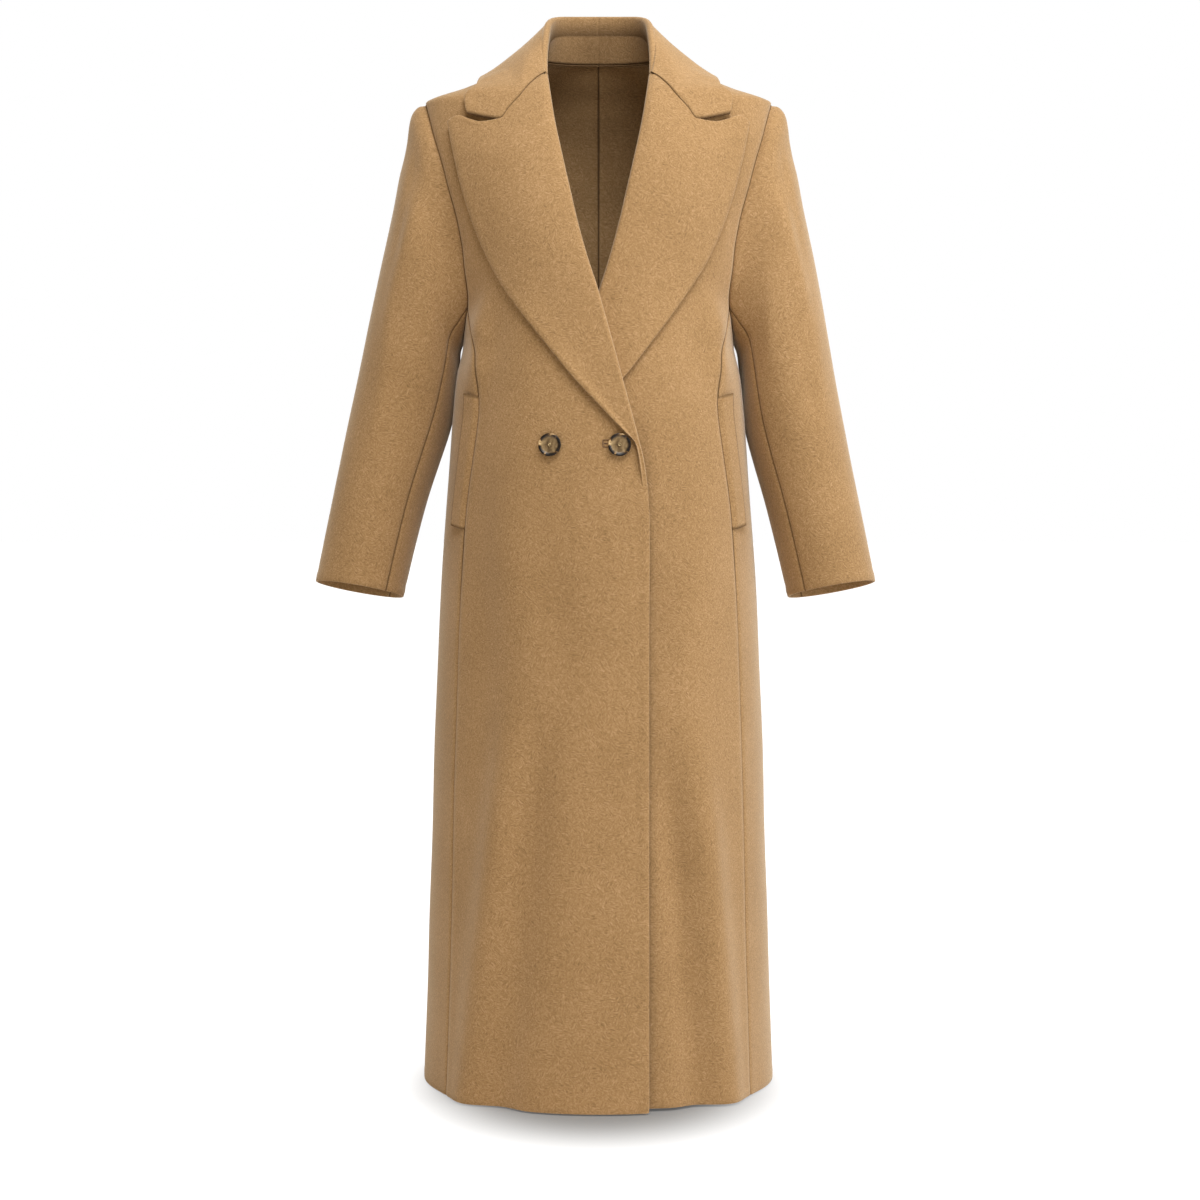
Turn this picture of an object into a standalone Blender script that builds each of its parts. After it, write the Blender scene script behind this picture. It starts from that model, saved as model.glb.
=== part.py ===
# A long double-breasted wool coat with peak lapels, filled out as it is worn and hollow inside.
# Metres, +Z up. The coat faces -Y and the wearer's right is -X, where the front laps over.
# The origin is at the base of the neck, level with the inner ends of the shoulder seams.
#
# Most points are worked out on one side of the coat. There "u" is the distance out from the
# centre towards that side, "angle" runs round the body from the centre front (0) over the
# side (90 degrees) to the centre back (180), and side is -1 for the right and 1 for the left.

import math

import bmesh
import bpy
import numpy as np
from mathutils import Vector

MM = 0.001
SEAM = 0.3 * MM              # room between two pieces at a seam
CLOTH = 2.0 * MM             # one layer of coating cloth
LAPEL_CLOTH = 2.4 * MM       # a lapel or collar, two layers pressed together
WELT_CLOTH = 2.6 * MM

HEM = -1.220                 # hem below the neck
BREAK = -0.528               # lower end of the lapels' roll lines
GORGE = -0.027               # upper end of the roll lines, where the collar is sewn on
SHOULDER = -0.054            # height of the shoulder points
ARMPIT = -0.335              # lowest point of the armholes
UNDER_SHORTER = 3.5 * MM     # the under front's hem rises this much at its edge
OVER_LIFT_HEM = 6.0 * MM     # how far the over front stands out from the under one
OVER_LIFT_CHEST = 9.8 * MM

FOLD_RADIUS = 4.6 * MM       # outside of the round fold at a roll line
FOLD_DEPTH = -1.0 * MM       # middle of that fold, under the front's face
FOLD_RETURN = 3.2 * MM       # the lapel's cloth inside the front, past the fold
FRONT_INSET = 4.2 * MM       # the front's own edge, back from the fold's nose
LEAF_LIFT = 3.4 * MM         # a lapel's face over the front's face
LEAF_SWELL = 3.5 * MM        # soft roll in the middle of a lapel
GORGE_LIFT = 1.5 * MM        # the lapel and collar stand off more where they are joined
STRIP_SINK = 1.8 * MM        # the strip inside the roll passes this much further in
COLLAR_ROOM = 6.0 * MM       # the collar's face over the front's, beside the neck
EDGE_LIFT = 0.8 * MM         # free edges lie a little off the cloth

ARM_REACH_FRONT = math.radians(28)   # the armhole's width round the body, each way
ARM_REACH_BACK = math.radians(26)
FRONT_JOIN = math.radians(138)       # where the side seams meet the armhole
BACK_JOIN = math.radians(230)

BUTTON_RADIUS = 13.3 * MM
BUTTON_RIM = 4.6 * MM
BUTTON_DISH = 2.6 * MM
BUTTON_GAP = 0.4 * MM
BUTTON_HEIGHT = -0.460
BUTTONS_U = {"button_1": 0.053, "button_2": -0.0230}
STUD_RADIUS = 2.2 * MM
STUD_HEIGHT = 1.4 * MM
ROUND_STEPS = 28

WELT_WIDTH = 24 * MM
WELT_TOP = -0.404
WELT_LOW = -0.556
WELT_SLANT = 4 * MM

# The body, hem first: half width, depth in front and behind, middle in y, squareness.
BODY = (
    ("height", "width", "front", "back", "middle", "square"),
    (
        (-1.220, 0.2110, 0.170, 0.168, 0.000, 2.05),
        (-1.000, 0.2035, 0.163, 0.160, 0.000, 2.08),
        (-0.800, 0.1965, 0.155, 0.152, 0.000, 2.12),
        (-0.620, 0.1880, 0.147, 0.143, 0.000, 2.18),
        (-0.500, 0.1795, 0.141, 0.131, 0.000, 2.22),
        (-0.428, 0.1745, 0.137, 0.121, 0.001, 2.25),
        (-0.380, 0.1695, 0.134, 0.117, 0.002, 2.25),
        (-0.335, 0.1605, 0.130, 0.117, 0.003, 2.25),
        (-0.300, 0.1610, 0.127, 0.120, 0.004, 2.25),
        (-0.240, 0.1760, 0.122, 0.124, 0.005, 2.25),
        (-0.180, 0.1910, 0.116, 0.124, 0.006, 2.25),
        (-0.130, 0.2000, 0.107, 0.118, 0.007, 2.22),
        (-0.090, 0.2050, 0.095, 0.108, 0.008, 2.18),
        (-0.054, 0.2060, 0.080, 0.093, 0.009, 2.12),
        (-0.036, 0.1610, 0.068, 0.084, 0.010, 2.10),
        (-0.018, 0.1170, 0.052, 0.072, 0.011, 2.08),
        (0.000, 0.0730, 0.034, 0.060, 0.012, 2.05),
        (0.006, 0.0580, 0.026, 0.055, 0.012, 2.05),
    ),
)

# The seams on each side of the side body, as angles.
SIDE_SEAMS = (
    ("height", "front", "back"),
    (
        (-1.220, 57.0, 126.0),
        (-0.800, 57.5, 125.5),
        (-0.556, 57.0, 124.5),
        (-0.404, 50.5, 122.0),
        (-0.360, 54.0, 118.0),
        (-0.298, 71.3, 111.0),
        (-0.284, 73.0, 109.9),
    ),
)

# The roll line, and below it the front edge, as u.
ROLL = (
    ("height", "u"),
    (
        (-1.220, -0.0560),
        (-0.528, -0.0555),
        (-0.489, -0.0520),
        (-0.453, -0.0445),
        (-0.402, -0.0315),
        (-0.360, -0.0205),
        (-0.319, -0.0095),
        (-0.284, 0.0000),
        (-0.248, 0.0115),
        (-0.204, 0.0235),
        (-0.165, 0.0325),
        (-0.132, 0.0400),
        (-0.082, 0.0505),
        (-0.027, 0.0590),
    ),
)

# The lapel's outer edge, from the break (0) to the tip (1).
LAPEL_EDGE = (
    ("part", "u", "height"),
    (
        (0.00, -0.0520, -0.528),
        (0.05, -0.0480, -0.502),
        (0.09, -0.0448, -0.479),
        (0.116, -0.0405, -0.459),
        (0.15, -0.0275, -0.444),
        (0.20, -0.0075, -0.422),
        (0.30, 0.0290, -0.381),
        (0.40, 0.0630, -0.336),
        (0.50, 0.0955, -0.290),
        (0.60, 0.1225, -0.246),
        (0.70, 0.1415, -0.203),
        (0.80, 0.1560, -0.158),
        (0.90, 0.1660, -0.115),
        (1.00, 0.1720, -0.083),
    ),
)

# The lapel's top: along the gorge seam, then its free top edge out to the tip.
LAPEL_TOP = (
    ("part", "u", "height"),
    (
        (0.00, 0.0590, -0.027),
        (0.10, 0.0690, -0.034),
        (0.20, 0.0800, -0.045),
        (0.31, 0.0905, -0.058),
        (0.42, 0.1020, -0.071),
        (0.52, 0.1130, -0.084),
        (0.68, 0.1340, -0.087),
        (0.80, 0.1480, -0.083),
        (0.92, 0.1610, -0.078),
        (1.00, 0.1720, -0.083),
    ),
)
LAPEL_SEWN = 0.52            # share of the lapel's top that is sewn to the collar

# The collar's front end: along the gorge seam, then its free edge at the notch.
COLLAR_END = (
    ("part", "u", "height"),
    (
        (0.00, 0.0590, -0.027),
        (0.13, 0.0690, -0.034),
        (0.26, 0.0800, -0.045),
        (0.40, 0.0905, -0.058),
        (0.55, 0.1020, -0.071),
        (0.70, 0.1130, -0.084),
        (0.85, 0.1320, -0.081),
        (1.00, 0.1490, -0.076),
    ),
)
COLLAR_SEWN = 0.70           # share of the collar's end that is sewn to the lapel

# The neck, from the centre back (0) to the gorge (1). The neckline is given as angle and
# height on the body, and the other lines as places: the roll, and the seam under the roll.
NECKLINE = (
    ("part", "angle", "height"),
    (
        (0.00, 180, 0.0040),
        (0.20, 154, 0.0036),
        (0.40, 126, 0.0026),
        (0.60, 90, 0.0000),
        (0.73, 50, -0.0065),
        (0.80, 41, -0.0115),
        (0.90, 30.4, -0.0225),
        (1.00, 24, -0.0300),
    ),
)
COLLAR_ROLL = (
    ("part", "u", "y", "height", "nose_u", "nose_y", "nose_z"),
    (
        (0.00, 0.0000, 0.0700, 0.0620, 0.00, 0.00, 1.00),
        (0.02, 0.0033, 0.0700, 0.0620, 0.00, 0.00, 1.00),
        (0.15, 0.0245, 0.0675, 0.0615, 0.00, 0.00, 1.00),
        (0.30, 0.0440, 0.0570, 0.0595, 0.00, 0.00, 1.00),
        (0.45, 0.0560, 0.0380, 0.0540, -0.05, 0.00, 1.00),
        (0.60, 0.0605, 0.0140, 0.0420, -0.10, -0.05, 1.00),
        (0.73, 0.0610, -0.0090, 0.0230, -0.35, -0.30, 0.85),
        (0.87, 0.0605, -0.0280, -0.0020, -0.70, -0.35, 0.60),
        (1.00, 0.0590, -0.0440, -0.0270, -0.85, -0.10, 0.50),
    ),
)
STAND_SEAM = (
    ("part", "u", "y", "height"),
    (
        (0.00, 0.0000, 0.0620, 0.0380),
        (0.15, 0.0225, 0.0600, 0.0375),
        (0.30, 0.0405, 0.0505, 0.0355),
        (0.45, 0.0525, 0.0340, 0.0300),
        (0.60, 0.0575, 0.0120, 0.0190),
        (0.73, 0.0585, -0.0080, 0.0060),
        (0.87, 0.0590, -0.0250, -0.0090),
        (1.00, 0.0600, -0.0400, -0.0290),
    ),
)
COLLAR_EDGE = (
    ("part", "angle", "height", "lift"),
    (
        (0.00, 180, -0.030, 5.0),
        (0.15, 164, -0.030, 5.0),
        (0.30, 147, -0.030, 5.0),
        (0.45, 124, -0.029, 5.5),
        (0.60, 96, -0.026, 6.0),
        (0.73, 76, -0.030, 6.0),
        (0.87, 58, -0.044, 5.0),
        (1.00, 45, -0.073, 3.8),
    ),
)
NECK_POINT = 0.60            # share of the neck where the shoulder seam meets it

# The sleeve from the armhole (0) to the cuff (1): its outer and inner lines, half its depth,
# and the middle of its depth in y.
SLEEVE = (
    ("part", "outer_u", "outer_z", "inner_u", "inner_z", "depth", "middle"),
    (
        (0.00, 0.2060, -0.054, 0.1605, -0.335, 0.064, 0.004),
        (0.05, 0.2185, -0.067, 0.1630, -0.340, 0.066, 0.005),
        (0.12, 0.2250, -0.098, 0.1655, -0.346, 0.068, 0.006),
        (0.22, 0.2360, -0.140, 0.1685, -0.354, 0.070, 0.007),
        (0.33, 0.2480, -0.195, 0.1715, -0.366, 0.070, 0.008),
        (0.44, 0.2605, -0.250, 0.1755, -0.385, 0.069, 0.008),
        (0.55, 0.2730, -0.308, 0.1800, -0.410, 0.067, 0.006),
        (0.66, 0.2870, -0.376, 0.1855, -0.440, 0.063, 0.003),
        (0.76, 0.2995, -0.435, 0.1950, -0.481, 0.059, -0.002),
        (0.84, 0.3110, -0.492, 0.2060, -0.523, 0.055, -0.007),
        (0.92, 0.3240, -0.556, 0.2190, -0.578, 0.051, -0.012),
        (1.00, 0.3370, -0.620, 0.2330, -0.638, 0.047, -0.017),
    ),
)
SLEEVE_SEAM_TURN = math.radians(6)   # how far the front sleeve seam swings forward by the cuff
CUFF_TILT = math.tan(math.radians(9.5))

# Soft folds. A fold runs from its top to its low end and stands out by its height; where
# fade is 1 it also dies away at the low end. face is -1 in front and 1 behind, and side 0
# puts it on both sides.
FOLDS = (
    ("side", "face", "top_u", "top_z", "low_u", "low_z", "height", "spread", "fade"),
    (
        (0, -1, 0.124, -0.262, 0.148, -0.430, 0.0060, 0.016, 1),
        (-1, -1, 0.090, -0.700, 0.170, -1.230, 0.0080, 0.030, 0),
        (1, -1, 0.108, -0.740, 0.164, -1.230, 0.0090, 0.026, 0),
        (0, 1, 0.052, -0.640, 0.092, -1.230, 0.0095, 0.032, 0),
        (0, 1, 0.128, -0.760, 0.158, -1.230, 0.0060, 0.024, 0),
        (-1, 1, 0.070, -0.180, 0.120, -0.420, 0.0040, 0.022, 1),
        (1, 1, 0.060, -0.200, 0.112, -0.460, 0.0045, 0.024, 1),
    ),
)

LOW_ROWS = 8                 # rows of faces: hem to break, break to armhole, armhole up
MIDDLE_ROWS = 8
MIDDLE_CROWDING = 1.4       # above 1, those rows crowd towards the break
ROLL_ROWS = 10
ROLL_CROWDING = 1.4         # above 1, those rows crowd towards the gorge
NECK_ROWS = 4
TOP_ROWS = ROLL_ROWS + NECK_ROWS
FRONT_COLUMNS = 11
SIDE_COLUMNS = 7
BACK_NECK_COLUMNS = 5
SHOULDER_COLUMNS = 5
SLEEVE_ROWS = 16

WOOL = {"colour": (0.47, 0.30, 0.16), "roughness": 0.9, "metallic": 0.0}
HORN = {"colour": (0.10, 0.065, 0.04), "roughness": 0.3, "metallic": 0.0}
BRASS = {"colour": (0.62, 0.52, 0.36), "roughness": 0.35, "metallic": 1.0}


def read(table, name, key):
    # One named column at the given keys, on a smooth curve that doesn't overshoot its rows.
    names, rows = table
    data = np.array(rows, dtype=float)
    knots = data[:, 0]
    values = data[:, names.index(name)]
    key = np.clip(key, knots[0], knots[-1])
    steps = np.diff(knots)
    slopes = np.diff(values) / steps
    before, after = slopes[:-1], slopes[1:]
    same_way = before * after > 0
    total = np.where(same_way, before + after, 1.0)
    inner = np.where(same_way, 2 * before * after / total, 0.0)
    tangents = np.concatenate(([slopes[0]], inner, [slopes[-1]]))
    place = np.clip(np.searchsorted(knots, key, side="right") - 1, 0, len(steps) - 1)
    step = steps[place]
    t = (key - knots[place]) / step
    start = (1 + 2 * t) * (1 - t) ** 2 * values[place]
    leave = t * (1 - t) ** 2 * step * tangents[place]
    end = t * t * (3 - 2 * t) * values[place + 1]
    arrive = t * t * (t - 1) * step * tangents[place + 1]
    return start + leave + end + arrive


def ease(t):
    t = np.clip(t, 0.0, 1.0)
    return t * t * (3 - 2 * t)


def unit(vectors):
    return vectors / np.linalg.norm(vectors, axis=-1, keepdims=True)


def stack(u, y, z):
    return np.stack(np.broadcast_arrays(u, y, z), axis=-1)


def angle_at(u, z):
    # The angle round the body of a point at distance u from the centre, on the front.
    ratio = np.clip(np.abs(u) / read(BODY, "width", z), 0.0, 1.0)
    return np.sign(u) * np.arcsin(ratio ** (read(BODY, "square", z) / 2))


def fold_height(side, u, z, facing):
    # facing is below 0 on the front, above 0 on the back, and near 0 at the sides.
    total = np.zeros(np.broadcast(u, z).shape)
    names, rows = FOLDS
    for row in rows:
        fold = dict(zip(names, row))
        if fold["side"] not in (0, side):
            continue
        along = (fold["top_z"] - z) / (fold["top_z"] - fold["low_z"])
        centre = fold["top_u"] + (fold["low_u"] - fold["top_u"]) * along
        ramp = ease(along / 0.4)
        if fold["fade"]:
            ramp = ramp * ease((1 - along) / 0.4)
        across = np.exp(-(((u - centre) / fold["spread"]) ** 2))
        total = total + fold["height"] * across * ramp * ease(fold["face"] * facing / 0.3)
    return total


def over_height(side, u, z, facing):
    # The right front lies over the left one, so it stands out where they overlap.
    if side > 0:
        return 0.0
    lift = OVER_LIFT_HEM + (OVER_LIFT_CHEST - OVER_LIFT_HEM) * ease((z + 0.72) / 0.16)
    across = 1 - ease((u - 0.075) / 0.070)
    return lift * across * ease((-0.13 - z) / 0.14) * (facing < 0)


def body(side, angle, z, lift=0.0):
    # A point of the coat's outer face, moved out by lift, and the direction out of the cloth.
    sine, cosine = np.sin(angle), np.cos(angle)
    width, square = read(BODY, "width", z), read(BODY, "square", z)
    middle = read(BODY, "middle", z)
    step = 1.0 * MM

    def depth_at(height):
        return np.where(cosine >= 0, read(BODY, "front", height), read(BODY, "back", height))

    def slope(name):
        return (read(BODY, name, z + step) - read(BODY, name, z - step)) / (2 * step)

    depth = depth_at(z)
    depth_slope = (depth_at(z + step) - depth_at(z - step)) / (2 * step)
    u = width * np.sign(sine) * np.abs(sine) ** (2 / square)
    y = -np.sign(cosine) * depth * np.abs(cosine) ** (2 / square)
    share_u, share_y = np.abs(u) / width, np.abs(y) / depth
    out_u = np.sign(u) * share_u ** (square - 1) / width
    out_y = np.sign(y) * share_y ** (square - 1) / depth
    out_z = -(share_u ** square * slope("width") / width + share_y ** square * depth_slope / depth)
    out_z = out_z - out_y * slope("middle")
    out = unit(stack(out_u, out_y, out_z))
    facing = y / depth
    lift = lift + fold_height(side, u, z, facing) + over_height(side, u, z, facing)
    lift = np.asarray(lift)[..., None]
    return stack(u, middle + y, z) + out * lift, out


def mirrored(side, points):
    return points * np.array([side, 1.0, 1.0])


def pull_in(face, back, edges, room=SEAM / 2):
    # Draws chosen edges of a wall's face and back away from their seams.
    face, back = face.copy(), back.copy()
    places = {
        "low": ((0,), (1,)),
        "top": ((-1,), (-2,)),
        "first": ((slice(None), 0), (slice(None), 1)),
        "last": ((slice(None), -1), (slice(None), -2)),
    }
    for edge in edges:
        line, inner = places[edge]
        shift = unit(face[inner] - face[line]) * room
        face[line] += shift
        back[line] += shift
    return face, back


def material(name, look):
    made = bpy.data.materials.get(name) or bpy.data.materials.new(name)
    made.use_nodes = True
    shader = made.node_tree.nodes["Principled BSDF"]
    shader.inputs["Base Color"].default_value = (*look["colour"], 1.0)
    shader.inputs["Roughness"].default_value = look["roughness"]
    shader.inputs["Metallic"].default_value = look["metallic"]
    return made


def place(name, mesh, look_name, look):
    piece = bpy.data.objects.new(name, mesh)
    mesh.materials.append(material(look_name, look))
    bpy.data.collections["long_coat"].objects.link(piece)
    return piece


def wall(name, face, back):
    # A closed wall of cloth between two grids of points, its face and its back.
    rows, columns = face.shape[:2]
    shape = bmesh.new()
    skins = [[[shape.verts.new(p) for p in row] for row in grid] for grid in (face, back)]
    for skin in skins:
        for i in range(rows - 1):
            for j in range(columns - 1):
                shape.faces.new((skin[i][j], skin[i][j + 1], skin[i + 1][j + 1], skin[i + 1][j]))
    outline = [(0, j) for j in range(columns)]
    outline += [(i, columns - 1) for i in range(1, rows)]
    outline += [(rows - 1, j) for j in range(columns - 2, -1, -1)]
    outline += [(i, 0) for i in range(rows - 2, 0, -1)]
    for here, after in zip(outline, outline[1:] + outline[:1]):
        corners = [skins[0][here[0]][here[1]], skins[0][after[0]][after[1]]]
        corners += [skins[1][after[0]][after[1]], skins[1][here[0]][here[1]]]
        shape.faces.new(corners)
    bmesh.ops.recalc_face_normals(shape, faces=shape.faces)
    mesh = bpy.data.meshes.new(name)
    shape.to_mesh(mesh)
    shape.free()
    mesh.shade_smooth()
    mesh.set_sharp_from_angle(angle=math.radians(50))
    return place(name, mesh, "camel_wool", WOOL)


def armhole(turn):
    # The armhole seam: turn is 0 at the shoulder point, 90 in front and 180 at the armpit.
    reach = np.where(np.sin(turn) >= 0, ARM_REACH_FRONT, ARM_REACH_BACK)
    angle = math.pi / 2 - reach * np.sin(turn)
    z = (SHOULDER + ARMPIT) / 2 + (SHOULDER - ARMPIT) / 2 * np.cos(turn)
    return angle, z


def sleeve(side, part, turn):
    # A point on the sleeve's outer face. Near the armhole it follows the armhole's own line.
    angle, z = armhole(turn)
    seam, _ = body(side, angle, z)

    def guide(line, at):
        return stack(read(SLEEVE, line + "_u", at), 0.0, read(SLEEVE, line + "_z", at))

    upper = (0.5 + 0.5 * np.cos(turn))[..., None]
    outer, inner = guide("outer", part), guide("inner", part)
    start = np.zeros_like(part)
    drift = upper * (outer - guide("outer", start)) + (1 - upper) * (inner - guide("inner", start))
    depth = -read(SLEEVE, "depth", part) * np.sin(turn)
    round_ring = upper * outer + (1 - upper) * inner
    round_ring[..., 1] += read(SLEEVE, "middle", part) + depth
    round_ring[..., 2] -= CUFF_TILT * depth * ease((part - 0.6) / 0.4)
    blend = ease(part / 0.32)[..., None]
    return (seam + drift) * (1 - blend) + round_ring * blend


def sleeve_out(side, part, turn):
    # The direction out of the sleeve's cloth.
    step = 0.004
    low, high = np.clip(part - step, 0, 1), np.clip(part + step, 0, 1)
    along = sleeve(side, high, turn) - sleeve(side, low, turn)
    around = sleeve(side, part, turn + step) - sleeve(side, part, turn - step)
    return unit(np.cross(around, along))


def armhole_seam(side, turn):
    # The cloth's face and back on the armhole seam, which body and sleeve share as a mitre,
    # and the direction from the body to the sleeve across that mitre.
    angle, z = armhole(turn)
    point, out = body(side, angle, z)
    lean = unit(out + sleeve_out(side, np.zeros_like(turn), turn))
    reach = 1 / np.clip(np.sum(lean * out, axis=-1, keepdims=True), 0.6, 1.0)
    step = 0.01
    run = body(side, *armhole(turn + step))[0] - body(side, *armhole(turn - step))[0]
    return point, point - lean * CLOTH * reach, unit(np.cross(lean, run))


def lapel_place(part, across):
    # A lapel's point in the front view: part runs up the roll line, across out to the edge.
    height = BREAK + (GORGE - BREAK) * part

    def line(table, at):
        return stack(read(table, "u", at), read(table, "height", at), 0)[..., :2]

    roll = stack(read(ROLL, "u", height), height, 0)[..., :2]
    edge, top = line(LAPEL_EDGE, part), line(LAPEL_TOP, across)
    roll_top, edge_top = line(LAPEL_TOP, 0.0), line(LAPEL_TOP, 1.0)
    across = np.asarray(across)[..., None]
    straight = (1 - across) * roll_top + across * edge_top
    bend = (np.asarray(part)[..., None]) ** 3
    return (1 - across) * roll + across * edge + bend * (top - straight)


def lapel_width(part):
    start = lapel_place(part, np.zeros_like(part))
    return np.linalg.norm(lapel_place(part, np.ones_like(part)) - start, axis=-1)


def fold_scale(part):
    return np.clip(lapel_width(part) / (12 * MM), 0.25, 1.0)


def edge_inset(z):
    # How far the front's own edge lies back from the roll line's nose.
    part = np.clip((z - BREAK) / (GORGE - BREAK), 0, 1)
    return np.where(z > BREAK - 1e-6, FRONT_INSET * fold_scale(part), 0.0)


def middle_rows(top):
    return BREAK + (top - BREAK) * np.linspace(0, 1, MIDDLE_ROWS + 1) ** MIDDLE_CROWDING


def rows_to(top):
    # Heights of the rows from the hem to where a side seam meets the armhole.
    low = np.linspace(HEM, BREAK, LOW_ROWS + 1)
    return np.concatenate((low, middle_rows(top)[1:]))


def roll_rows():
    # Heights of the rows along the roll line, shared by the front and the lapel.
    _, join = armhole(np.array(FRONT_JOIN))
    upper = GORGE + (join - GORGE) * np.linspace(1, 0, ROLL_ROWS + 1) ** ROLL_CROWDING
    return np.concatenate((middle_rows(join), upper[1:]))


def panel(name, side, angle, z, armhole_lines=(), seams=("first", "last", "top")):
    # A wall from a grid of angles and heights; armhole_lines give the edges on the armhole.
    face, out = body(side, angle, z)
    back = face - out * CLOTH
    for rows, column, turn in armhole_lines:
        seam_face, seam_back, apart = armhole_seam(side, turn)
        face[rows, column] = seam_face - apart * SEAM / 2
        back[rows, column] = seam_back - apart * SEAM / 2
    face, back = pull_in(face, back, seams)
    return wall(name, mirrored(side, face), mirrored(side, back))


def front(name, side):
    _, join = armhole(np.array(FRONT_JOIN))
    low = rows_to(float(join))
    turn = np.linspace(FRONT_JOIN, 0, TOP_ROWS + 1)[1:]
    arm_angle, arm_z = armhole(turn)
    side_angle = np.radians(read(SIDE_SEAMS, "front", low))
    outer_angle = np.concatenate((side_angle, arm_angle))
    outer_z = np.concatenate((low, arm_z))
    inner_z = np.concatenate((low, roll_rows()[MIDDLE_ROWS + 1:]))
    inner_angle = angle_at(read(ROLL, "u", inner_z) + edge_inset(inner_z), inner_z)
    neck = np.linspace(1, NECK_POINT, NECK_ROWS + 1)[1:]
    inner_angle = np.concatenate((inner_angle, np.radians(read(NECKLINE, "angle", neck))))
    inner_z = np.concatenate((inner_z, read(NECKLINE, "height", neck)))
    if side > 0:
        inner_z[0] += UNDER_SHORTER
    across = np.linspace(0, 1, FRONT_COLUMNS + 1)
    angle = outer_angle[:, None] * (1 - across) + inner_angle[:, None] * across
    z = outer_z[:, None] * (1 - across) + inner_z[:, None] * across
    line = (slice(len(low), None), 0, turn)
    return panel(name, side, angle, z, [line], ("first", "top"))


def side_body(name, side):
    _, join_front = armhole(np.array(FRONT_JOIN))
    _, join_back = armhole(np.array(BACK_JOIN))
    front_z, back_z = rows_to(float(join_front)), rows_to(float(join_back))
    front_angle = np.radians(read(SIDE_SEAMS, "front", front_z))
    back_angle = np.radians(read(SIDE_SEAMS, "back", back_z))
    across = np.linspace(0, 1, SIDE_COLUMNS + 1)
    turn = FRONT_JOIN + (BACK_JOIN - FRONT_JOIN) * across
    top_angle, top_z = armhole(turn)
    angle = front_angle[:, None] * (1 - across) + back_angle[:, None] * across
    z = front_z[:, None] * (1 - across) + back_z[:, None] * across
    share = ease((z[:, :1] - BREAK) / (float(join_front) - BREAK))
    angle = angle + share * (top_angle - angle[-1])
    z = z + share * (top_z - z[-1])
    return panel(name, side, angle, z, [(-1, slice(None), turn)])


def back(name, side):
    _, join = armhole(np.array(BACK_JOIN))
    low = rows_to(float(join))
    turn = np.linspace(BACK_JOIN, 2 * math.pi, TOP_ROWS + 1)[1:]
    arm_angle, arm_z = armhole(turn)
    side_angle = np.radians(read(SIDE_SEAMS, "back", low))
    outer_angle = np.concatenate((side_angle, arm_angle))
    outer_z = np.concatenate((low, arm_z))
    neck_height = read(NECKLINE, "height", 0.0)
    centre_z = np.concatenate((low, np.linspace(join, neck_height, TOP_ROWS + 1)[1:]))
    neck = np.linspace(0, NECK_POINT, BACK_NECK_COLUMNS + 1)
    shoulder = np.linspace(0, SHOULDER, SHOULDER_COLUMNS + 1)[1:]
    top_angle = np.concatenate((np.radians(read(NECKLINE, "angle", neck)),
                                np.full(SHOULDER_COLUMNS, math.pi / 2)))
    top_z = np.concatenate((read(NECKLINE, "height", neck), shoulder))
    across = np.linspace(0, 1, BACK_NECK_COLUMNS + SHOULDER_COLUMNS + 1)
    angle = math.pi * (1 - across) + outer_angle[:, None] * across
    z = centre_z[:, None] * (1 - across) + outer_z[:, None] * across
    row = np.arange(len(outer_z))[:, None]
    share = ease((row - len(low)) / (len(outer_z) - 1 - len(low))) ** 1.5
    angle = angle + share * (top_angle - angle[-1])
    z = z + share * (top_z - z[-1])
    return panel(name, side, angle, z, [(slice(len(low), None), -1, turn)])


def sleeve_piece(name, side, turns, swing):
    # A sleeve piece between two of the armhole's turns; swing moves its seams by the cuff.
    part = np.linspace(0, 1, SLEEVE_ROWS + 1)[:, None] + 0 * turns
    turn = turns - swing * ease(part / 0.9)
    face = sleeve(side, part, turn)
    back_points = face - sleeve_out(side, part, turn) * CLOTH
    seam_face, seam_back, apart = armhole_seam(side, turns)
    face[0], back_points[0] = seam_face + apart * SEAM / 2, seam_back + apart * SEAM / 2
    face, back_points = pull_in(face, back_points, ("first", "last"))
    near = pull_in(face[:2], back_points[:2], ("first", "last"), 2 * SEAM)
    face[:2], back_points[:2] = near
    return wall(name, mirrored(side, face), mirrored(side, back_points))


def sleeves(side, word):
    front_turns = np.linspace(FRONT_JOIN, 0, TOP_ROWS + 1)[::-1]
    back_turns = np.linspace(BACK_JOIN, 2 * math.pi, TOP_ROWS + 1) - 2 * math.pi
    over = np.concatenate((back_turns, front_turns[1:]))
    under = FRONT_JOIN + (BACK_JOIN - FRONT_JOIN) * np.linspace(0, 1, SIDE_COLUMNS + 1)
    swing = SLEEVE_SEAM_TURN * np.clip(over / FRONT_JOIN, 0, 1)
    sleeve_piece("top_sleeve_" + word, side, over, swing)
    swing = SLEEVE_SEAM_TURN * (BACK_JOIN - under) / (BACK_JOIN - FRONT_JOIN)
    sleeve_piece("under_sleeve_" + word, side, under, swing)


def fold_section(thickness):
    # The round fold of a lapel or collar in its own section: distance in from the nose and
    # height over the front's face, from the inner return round to the start of the leaf.
    radius = FOLD_RADIUS - thickness
    distance, height = [FOLD_RADIUS + FOLD_RETURN], [FOLD_DEPTH - radius]
    for degrees in (270, 225, 180, 135, 90):
        distance.append(FOLD_RADIUS + radius * math.cos(math.radians(degrees)))
        height.append(FOLD_DEPTH + radius * math.sin(math.radians(degrees)))
    return np.array(distance), np.array(height)


def lapel_points(side, part, across, lift):
    front_view = lapel_place(part + 0 * across, across)
    u, z = front_view[..., 0], front_view[..., 1]
    points, _ = body(side, angle_at(u, z), z, lift)
    return points


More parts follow.
